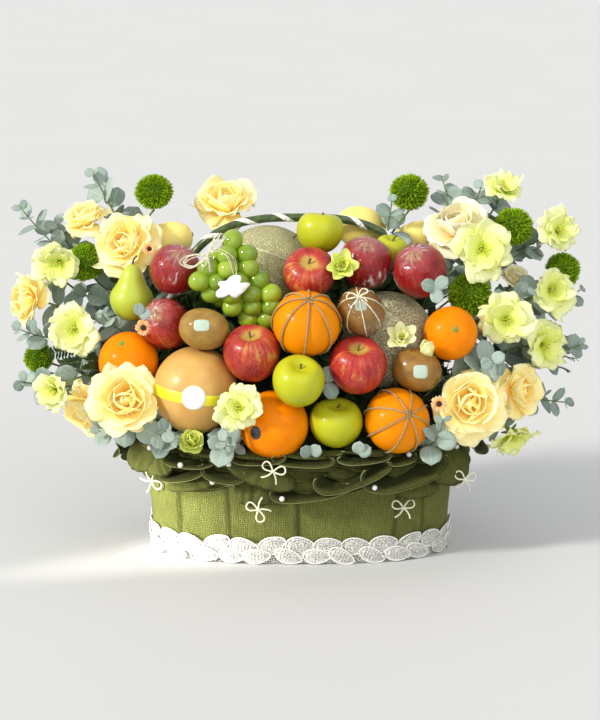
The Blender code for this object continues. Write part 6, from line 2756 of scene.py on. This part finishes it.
@dataclass
class Studio:
    """A pale floor under soft light, seen from where the photo was taken."""

    target: Triple = (0.0, 0.0, 0.26)
    distance: float = 3.6
    tilt: float = 11.5
    lens: float = 128.57
    sky: Triple = (0.97, 0.985, 1.0)
    sky_light: float = 0.78

    def build(self) -> None:
        """Makes the floor, the lights, the world and the camera."""
        span = np.array([-90.0, 90.0])
        x, y = np.meshgrid(span, span)
        grid = np.stack([x, y, np.full(x.shape, 0.0)], axis=-1)
        mesh = bpy.data.meshes.new("floor")
        mesh.from_pydata(grid.reshape(-1, 3).tolist(), [], [(0, 1, 3, 2)])
        mesh.materials.append(Palette.floor.material())
        floor = bpy.data.objects.new("floor", mesh)
        bpy.context.scene.collection.objects.link(floor)
        self.sun("key", (-1.0, -0.58, 0.62), 9.0, 2.9, (1.0, 0.97, 0.91))
        self.spot("window", (-1.15, -0.52, 0.20), (-0.175, -0.085, 0.050), 12.0, 140.0, (1.0, 0.97, 0.90))
        self.sun("fill", (0.30, -1.0, 0.60), 50.0, 0.7, (0.97, 0.98, 1.0))
        world = bpy.data.worlds.new("studio")
        world.use_nodes = True
        light = world.node_tree.nodes["Background"]
        light.inputs["Color"].default_value = (*self.sky, 1)
        light.inputs["Strength"].default_value = self.sky_light
        bpy.context.scene.world = world
        bpy.context.scene.view_settings.view_transform = "Standard"
        tilt = math.radians(self.tilt)
        ahead = Vector((0, math.cos(tilt), -math.sin(tilt)))
        data = bpy.data.cameras.new("camera")
        data.lens = self.lens
        data.sensor_width = 36.0
        data.clip_end = 400.0
        camera = bpy.data.objects.new("camera", data)
        camera.location = Vector(self.target) - ahead * self.distance
        camera.rotation_euler = (math.pi / 2 - tilt, 0, 0)
        bpy.context.scene.collection.objects.link(camera)
        bpy.context.scene.camera = camera

    def spot(self, name: str, place: Triple, aim: Triple, width: float, power: float, colour: Triple) -> None:
        """A patch of low window light, this many degrees wide, from place onto what is at aim.

        Args:
            name: the lamp's name.
            place: where it is.
            aim: what it is turned to.
            width: its angle in degrees.
            power: its power in watts.
            colour: its colour.
        """
        data = bpy.data.lights.new(name, "SPOT")
        data.spot_size = math.radians(width)
        data.spot_blend = 0.9
        data.shadow_soft_size = 0.03
        data.energy = power
        data.color = colour
        lamp = bpy.data.objects.new(name, data)
        lamp.location = place
        lamp.rotation_euler = (Vector(place) - Vector(aim)).to_track_quat("Z", "Y").to_euler()
        bpy.context.scene.collection.objects.link(lamp)

    def sun(self, name: str, place: Triple, width: float, power: float, colour: Triple) -> None:
        """A soft far light, from the direction of place and this many degrees wide.

        Args:
            name: the lamp's name.
            place: the way that it comes from.
            width: its angle in degrees.
            power: its strength.
            colour: its colour.
        """
        data = bpy.data.lights.new(name, "SUN")
        data.angle = math.radians(width)
        data.energy = power
        data.color = colour
        lamp = bpy.data.objects.new(name, data)
        lamp.rotation_euler = Vector(place).to_track_quat("Z", "Y").to_euler()
        bpy.context.scene.collection.objects.link(lamp)


ROSE = (
    Whorl(3, 0.03, 0.84, 0.44, (30, -52), 0.90, 0.01, wild=0.04),
    Whorl(3, 0.07, 0.96, 0.56, (36, -30), 0.78, 0.02, 1.2, wild=0.06),
    Whorl(4, 0.12, 1.00, 0.62, (42, 4), 0.56, 0.04, 1.2, wild=0.10),
    Whorl(5, 0.12, 1.02, 0.64, (50, 66), 0.32, 0.08, 1.3, 0.10, wild=0.16),
    Whorl(5, 0.10, 1.08, 0.68, (64, 114), 0.12, 0.11, 1.5, 0.10, wild=0.20),
)
BUD = (
    Whorl(3, 0.02, 0.95, 0.40, (10, -14), 0.85, 0.02),
    Whorl(4, 0.05, 1.05, 0.50, (26, 2), 0.60, 0.03),
    Whorl(5, 0.10, 1.00, 0.56, (50, 40), 0.35, 0.05),
    Whorl(5, 0.10, 0.90, 0.56, (66, 86), 0.15, 0.05),
)
CLOSED = (
    Whorl(3, 0.06, 1.70, 0.62, (26, -34), 0.75, 0.01),
    Whorl(4, 0.10, 1.55, 0.60, (34, -30), 0.70, 0.02),
)
LISIANTHUS = (
    Whorl(4, 0.05, 0.80, 0.52, (34, 80), 0.26, 0.09, 1.6, 0.08, wild=0.18),
    Whorl(5, 0.06, 1.08, 0.60, (50, 98), 0.14, 0.13, 1.8, 0.02, wild=0.20),
)
DAISY = (
    Whorl(14, 0.22, 0.74, 0.15, (62, 84), 0.15, 0.02),
    Whorl(16, 0.22, 0.82, 0.15, (74, 96), 0.10, 0.02),
)
STAR = (
    Whorl(5, 0.06, 0.78, 0.36, (20, 30), 0.45, 0.04, 1.2, 0.36),
    Whorl(6, 0.06, 1.02, 0.44, (44, 74), 0.25, 0.06, 1.2, 0.38),
)


def fruits() -> list[Fruit]:
    """Every fruit of the heap apart from the grapes.

    Returns:
        The fruits.
    """
    p, f = Palette, Form
    red, green, tied, netted = "apple_red", "apple_green", "orange_tied", "melon_netted"
    rows = (
        ("melon_netted_back", f.BALL, 0.075, 0.075, (0.5, -0.2, 0.85), p.netted, netted, 0.010),
        ("melon_netted_right", f.BALL, 0.069, 0.069, (-0.4, -0.3, 0.86), p.netted_green, netted, 0.008),
        ("melon_smooth_left", f.BALL, 0.058, 0.060, (0.1, -0.15, 1), p.smooth, "melon_smooth", 0.008),
        ("apple_wrapped_left", f.APPLE, 0.034, 0.035, (0.25, -0.5, 0.8), p.red_dark, red, 0.011),
        ("apple_mid_left", f.APPLE, 0.033, 0.036, (-0.45, -0.55, 0.65), p.red_streaked, red, 0.011),
        ("pear_left", f.PEAR, 0.032, 0.040, (0.05, -0.1, 1), p.pear, "pear", 0.015),
        ("orange_left", f.BALL, 0.041, 0.040, (-0.2, -0.6, 0.75), p.orange, "orange", 0.0, 0.0045),
        ("kiwi_left", f.OVAL, 0.028, 0.034, (1, -0.1, -0.15), p.kiwi, "kiwi", 0.0, 0.0030),
        ("apple_low_left", f.APPLE, 0.038, 0.041, (-0.05, -0.45, 0.9), p.red_streaked, red, 0.011, 0, 2.0),
        ("orange_tied_centre", f.LOBED, 0.046, 0.043, (0.05, -0.5, 0.85), p.orange_tied, tied, 0.0, 0.0040),
        ("apple_centre", f.APPLE, 0.036, 0.034, (-0.05, -0.7, 0.7), p.red_streaked, red, 0.011, 0, 0.7),
        ("apple_green_top", f.APPLE, 0.0325, 0.031, (0.1, 0.1, 1), p.green_apple, green, 0.009),
        ("apple_top_right", f.APPLE, 0.035, 0.036, (0.1, -0.35, 0.93), p.red_dark, red, 0.011),
        ("apple_wrapped_right", f.APPLE, 0.0365, 0.037, (-0.3, -0.45, 0.85), p.red_dark, red, 0.011),
        ("kiwi_tied", f.OVAL, 0.030, 0.033, (0.55, -0.35, -0.6), p.kiwi_shiny, "kiwi", 0.0, 0.0030),
        ("apple_low_right", f.APPLE, 0.039, 0.041, (0.0, -0.5, 0.87), p.red_bright, red, 0.011, 0, 1.1),
        ("kiwi_right", f.OVAL, 0.029, 0.034, (0.9, -0.2, -0.3), p.kiwi_shiny, "kiwi", 0.0, 0.0030),
        ("orange_right", f.BALL, 0.037, 0.036, (0.12, -0.85, 0.3), p.orange, "orange", 0.0, 0.0045),
        ("orange_tied_right", f.LOBED, 0.0445, 0.042, (0.35, -0.75, 0.4), p.orange_tied, tied, 0.0, 0.004),
        ("apple_green_low", f.APPLE, 0.036, 0.035, (0.1, -0.3, 0.95), p.green_apple, green, 0.009, 0, 0.5),
        ("apple_green_mid", f.APPLE, 0.035, 0.036, (0.12, -0.5, 0.85), p.green_apple, green, 0.009, 0, 1.5),
        ("orange_low", f.BALL, 0.0465, 0.0455, (-0.3, -0.9, 0.1), p.orange, "orange", 0.0, 0.0),
        ("mango_left", f.OVAL, 0.026, 0.035, (1, 0.1, 0.25), p.yellow_fruit, "mango", 0.0, 0.003),
        ("mango_back", f.OVAL, 0.030, 0.036, (1, 0.15, -0.25), p.yellow_fruit, "mango", 0.0, 0.003),
        ("mango_right", f.OVAL, 0.026, 0.034, (0.9, 0.1, 0.35), p.yellow_fruit, "mango", 0.0, 0.003),
        ("apple_green_back", f.APPLE, 0.024, 0.023, (0.2, -0.2, 0.95), p.green_apple, green, 0.012),
    )
    return [Fruit(*row) for row in rows]


def heads() -> list[Head]:
    """Every rose and lisianthus head.

    Returns:
        The heads.
    """
    roses = (
        ("rose_top_back", 0.044, 0.024, (-0.1, -0.5, 0.85)),
        ("rose_back_left", 0.032, 0.020, (-0.35, -0.35, 0.85)),
        ("rose_upper_left", 0.042, 0.024, (-0.3, -0.8, 0.5)),
        ("rose_far_left", 0.036, 0.023, (-0.8, -0.5, 0.15)),
        ("rose_front_left", 0.045, 0.026, (-0.05, -0.93, 0.3)),
        ("rose_low_left", 0.040, 0.024, (-0.6, -0.55, -0.5)),
        ("rose_front_right", 0.045, 0.026, (0.0, -0.95, 0.2)),
        ("rose_low_right", 0.037, 0.023, (0.6, -0.75, 0.0)),
    )
    lisianthus = (
        ("far_left", 0.033, 0.016, (-0.1, -0.95, -0.2)),
        ("left", 0.038, 0.018, (-0.1, -0.98, 0.15)),
        ("low_left", 0.030, 0.016, (-0.5, -0.85, -0.1)),
        ("front", 0.030, 0.014, (0.05, -0.95, 0.25)),
        ("upper_right", 0.040, 0.019, (0.05, -0.95, 0.05)),
        ("top_right", 0.029, 0.015, (0.15, -0.5, 0.85)),
        ("far_right_top", 0.031, 0.015, (0.4, -0.85, 0.3)),
        ("far_right", 0.035, 0.017, (0.3, -0.9, 0.15)),
        ("right", 0.037, 0.018, (0.0, -1, 0.05)),
        ("far_right_low", 0.037, 0.018, (0.45, -0.85, 0.0)),
        ("low_right", 0.033, 0.016, (0.3, -0.65, -0.6)),
    )
    made = [Head(n, r, h, a, ROSE, Palette.rose, "rose", k) for k, (n, r, h, a) in enumerate(roses)]
    cream = (Palette.rose_cream, "rose_cream")
    made.append(Head("rose_cream_right", 0.046, 0.025, (-0.1, -0.55, 0.8), ROSE, *cream, 21))
    made.append(Head("rose_bud_right", 0.025, 0.022, (0.35, -0.5, 0.75), BUD, *cream, 22))
    for k, (n, r, h, a) in enumerate(lisianthus):
        made.append(Head(f"lisianthus_{n}", r, h, a, LISIANTHUS, Palette.lisianthus, "lisianthus", 30 + k, 9))
    return made


def pompons() -> list[Pompon]:
    """Every dianthus head.

    Returns:
        The balls.
    """
    rows = (
        ("top_left", 0.030, 0.028, (0, 0, 1)),
        ("left", 0.031, 0.029, (-0.3, -0.4, 0.8)),
        ("far_left", 0.024, 0.023, (-0.7, -0.3, 0.4)),
        ("top_right", 0.031, 0.029, (0, 0, 1)),
        ("upper_right", 0.031, 0.029, (0.2, -0.3, 0.9)),
        ("far_right", 0.028, 0.027, (0.5, -0.2, 0.7)),
        ("right", 0.034, 0.032, (0.1, -0.8, 0.5)),
    )
    return [Pompon(f"dianthus_{n}", r, h, a, k) for k, (n, r, h, a) in enumerate(rows)]


def small_heads() -> list[Head]:
    """The little blooms that stand between the fruits.

    Returns:
        The small heads.
    """
    p = Palette
    rows = (
        ("gerbera_left", (-0.213, -0.105, 0.326), 0.0115, (-0.15, -0.95, 0.2), DAISY, p.peach, 0),
        ("gerbera_top_left", (-0.208, -0.030, 0.423), 0.0096, (-0.1, -0.9, 0.4), DAISY, p.peach, 0),
        ("gerbera_right", (0.186, -0.160, 0.232), 0.0115, (-0.2, -0.95, 0.1), DAISY, p.peach, 0),
        ("hellebore", (0.056, -0.104, 0.411), 0.0255, (0.1, -0.9, 0.45), STAR, p.young, 14),
        ("bud_front_left", (-0.146, -0.150, 0.180), 0.0195, (0.2, -0.7, 0.65), BUD, p.young, 0),
        ("bud_star", (0.138, -0.120, 0.317), 0.0255, (0.0, -0.75, 0.6), STAR, p.pale, 6),
        ("bud_right", (0.174, -0.130, 0.297), 0.0170, (-0.35, -0.4, 0.85), CLOSED, p.pale, 0),
    )
    return [
        Head(name, radius, radius * 0.5, axis, whorls, skin, "lisianthus", 60 + k, stamens, place)
        for k, (name, place, radius, axis, whorls, skin, stamens) in enumerate(rows)
    ]


def ties(by_name: dict[str, Fruit]) -> list[Piece]:
    """Twine and raffia round fruits, and the plain stickers and band on them.

    Args:
        by_name: the fruits, by name.

    Returns:
        The pieces that were made.
    """
    made = []
    for name in ("orange_tied_centre", "orange_tied_right"):
        fruit, draft = by_name[name], Draft()
        for k in range(4):
            a = k * TURN / 8
            tilt = 0.05 * math.sin(5.1 * k + fruit.radius * 900)
            fruit.strand(draft, tuple(fruit.turn @ np.array([-math.sin(a), math.cos(a), tilt])), 0.0014)
        knot = fruit.surface(fruit.turn[:, 2], 0.0016)
        draft.ball(knot, 0.0034, 0.5, 10)
        made.append(draft.make(f"{name}_twine", [Palette.twine], "ribbon"))
    kiwi, draft = by_name["kiwi_tied"], Draft()
    way = unit(np.array([-0.15, -0.62, 0.77]))
    for turn in (0.1, 0.75, 1.45, 2.4):
        kiwi.strand(draft, tuple(turned_to(way) @ np.array([math.cos(turn), math.sin(turn), 0.0])), 0.0010)
    CordBow(kiwi.surface(way, 0.001), way, 0.5, 0.016, 0.005, 0.016, 0.0009).add(draft)
    made.append(draft.make("kiwi_raffia", [Palette.cord], "ribbon"))
    melon, draft = by_name["melon_netted_back"], Draft()
    melon.strand(draft, (0.35, 0.2, 0.9), 0.0008, 66)
    made.append(draft.make("melon_raffia", [Palette.cord], "ribbon"))
    melon, draft = by_name["melon_smooth_left"], Draft()
    rings = []
    for angle in (83.0, 84.0, 88.0, 92.0, 96.0, 97.0):
        lift = 0.0 if angle in (83.0, 97.0) else 0.0004
        rings.append(melon.surface(melon.ring((0.12, -0.02, 1.0), 96, angle), lift))
    draft.sheet(np.array(rings), np.array([0.5, 0.5, 0.5]), around=True)
    made.append(draft.make("melon_band", [Palette.band], "ribbon"))
    draft = Draft()
    melon.patch(draft, (0.0, -0.98, 0.02), 0.0165, lift=0.0009)
    made.append(draft.make("melon_label", [Palette.label], "ribbon"))
    rows = (
        ("kiwi_left", (-0.08, -0.93, 0.36), 0.0105, 0.74, 5.0, Palette.sticker),
        ("kiwi_right", (0.12, -0.95, 0.10), 0.0095, 0.95, 5.0, Palette.sticker),
        ("kiwi_tied", (-0.05, -0.90, 0.48), 0.0080, 0.90, 5.0, Palette.sticker),
        ("orange_low", (-0.55, -0.83, -0.06), 0.0085, 1.15, 2.0, Palette.dark_sticker),
    )
    for name, way, size, stretch, power, finish in rows:
        draft = Draft()
        by_name[name].patch(draft, way, size, stretch, power)
        made.append(draft.make(f"{name}_sticker", [finish], "ribbon"))
    return made


def trims(collar: Piece, wrap: Piece) -> list[Piece]:
    """The cord bows on the tub and collar, and the pearls in the collar's folds.

    Args:
        collar: the collar cloth.
        wrap: the tub's cloth.

    Returns:
        The pieces that were made.
    """
    surface = Surface(collar, wrap)
    bows = Draft()
    rows = (
        (-0.056, 0.083, 2.3),
        (0.140, 0.077, 0.0),
        (-0.036, 0.141, -0.3),
        (-0.222, 0.104, -0.9),
        (0.238, 0.112, -0.2),
    )
    for x, z, turn in rows:
        inner = max(-0.203, min(0.224, x))
        point, _ = surface.front(inner, z)
        reach = 0.011 if inner == x else 0.004
        steps = [(dx, dz) for dx in (-reach, 0, reach) for dz in (-0.009, 0, 0.009)]
        point[1] = min(surface.front(inner + dx, z + dz, 0.0)[0][1] for dx, dz in steps)
        facing = unit(np.array([2.0 * x, -1.0, 0.15]))
        CordBow(point + facing * 0.004, facing, turn).add(bows)
    pearls = Draft()
    left = ((-0.205, 0.158), (-0.162, 0.1416), (-0.119, 0.1177), (-0.096, 0.1453), (-0.0244, 0.0981))
    right = ((0.040, 0.1458), (0.1007, 0.114), (0.1485, 0.155), (0.215, 0.153))
    for x, z in left + right:
        point, normal = surface.front(x, z)
        pearls.ball(point + unit(normal + np.array([0.0, -2.0, 0.3])) * 0.0028, 0.0038, 0.5, 20)
    cords = bows.make("cord_bows", [Palette.cord], "ribbon")
    return [cords, pearls.make("pearls", [Palette.pearl], "ribbon")]


def report(made: Piece | list[Piece]) -> None:
    """Logs each finished piece with its number of faces."""
    for piece in made if isinstance(made, list) else [made]:
        log.info("%-32s %7d faces", piece.name, len(piece.data.polygons))


def main() -> None:
    """Builds the basket piece by piece, and the studio round it."""
    Studio().build()
    wall = Wall()
    tub, collar, handle = Tub(wall), Collar(wall), Handle()
    wrap = tub.build()
    report(wrap)
    ruffle = collar.build()
    report(ruffle)
    report(LaceBand(wall).build())
    report(handle.build())
    report(trims(ruffle, wrap[0]))
    fruit, flowers, balls, small = fruits(), heads(), pompons(), small_heads()
    for one in fruit:
        report(one.build())
    by_name = {one.node: one for one in fruit}
    for name in ("apple_wrapped_left", "apple_mid_left", "apple_top_right", "apple_wrapped_right"):
        report(by_name[name].film(Palette.film_red))
    report(by_name["kiwi_tied"].film(Palette.film_brown))
    report(ties(by_name))
    report(GrapeBunch().build(fruit))
    for one in flowers + balls + small:
        report(one.build())
    greenery = Greenery(fruit + flowers + balls, handle.line())
    report(greenery.packing())
    report(greenery.stems())
    report(greenery.eucalyptus())
    report(greenery.dark_leaves())
    report(greenery.ferns())
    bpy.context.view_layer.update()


if __name__ == "__main__":
    logging.basicConfig(level=logging.INFO, format="%(message)s")
    main()
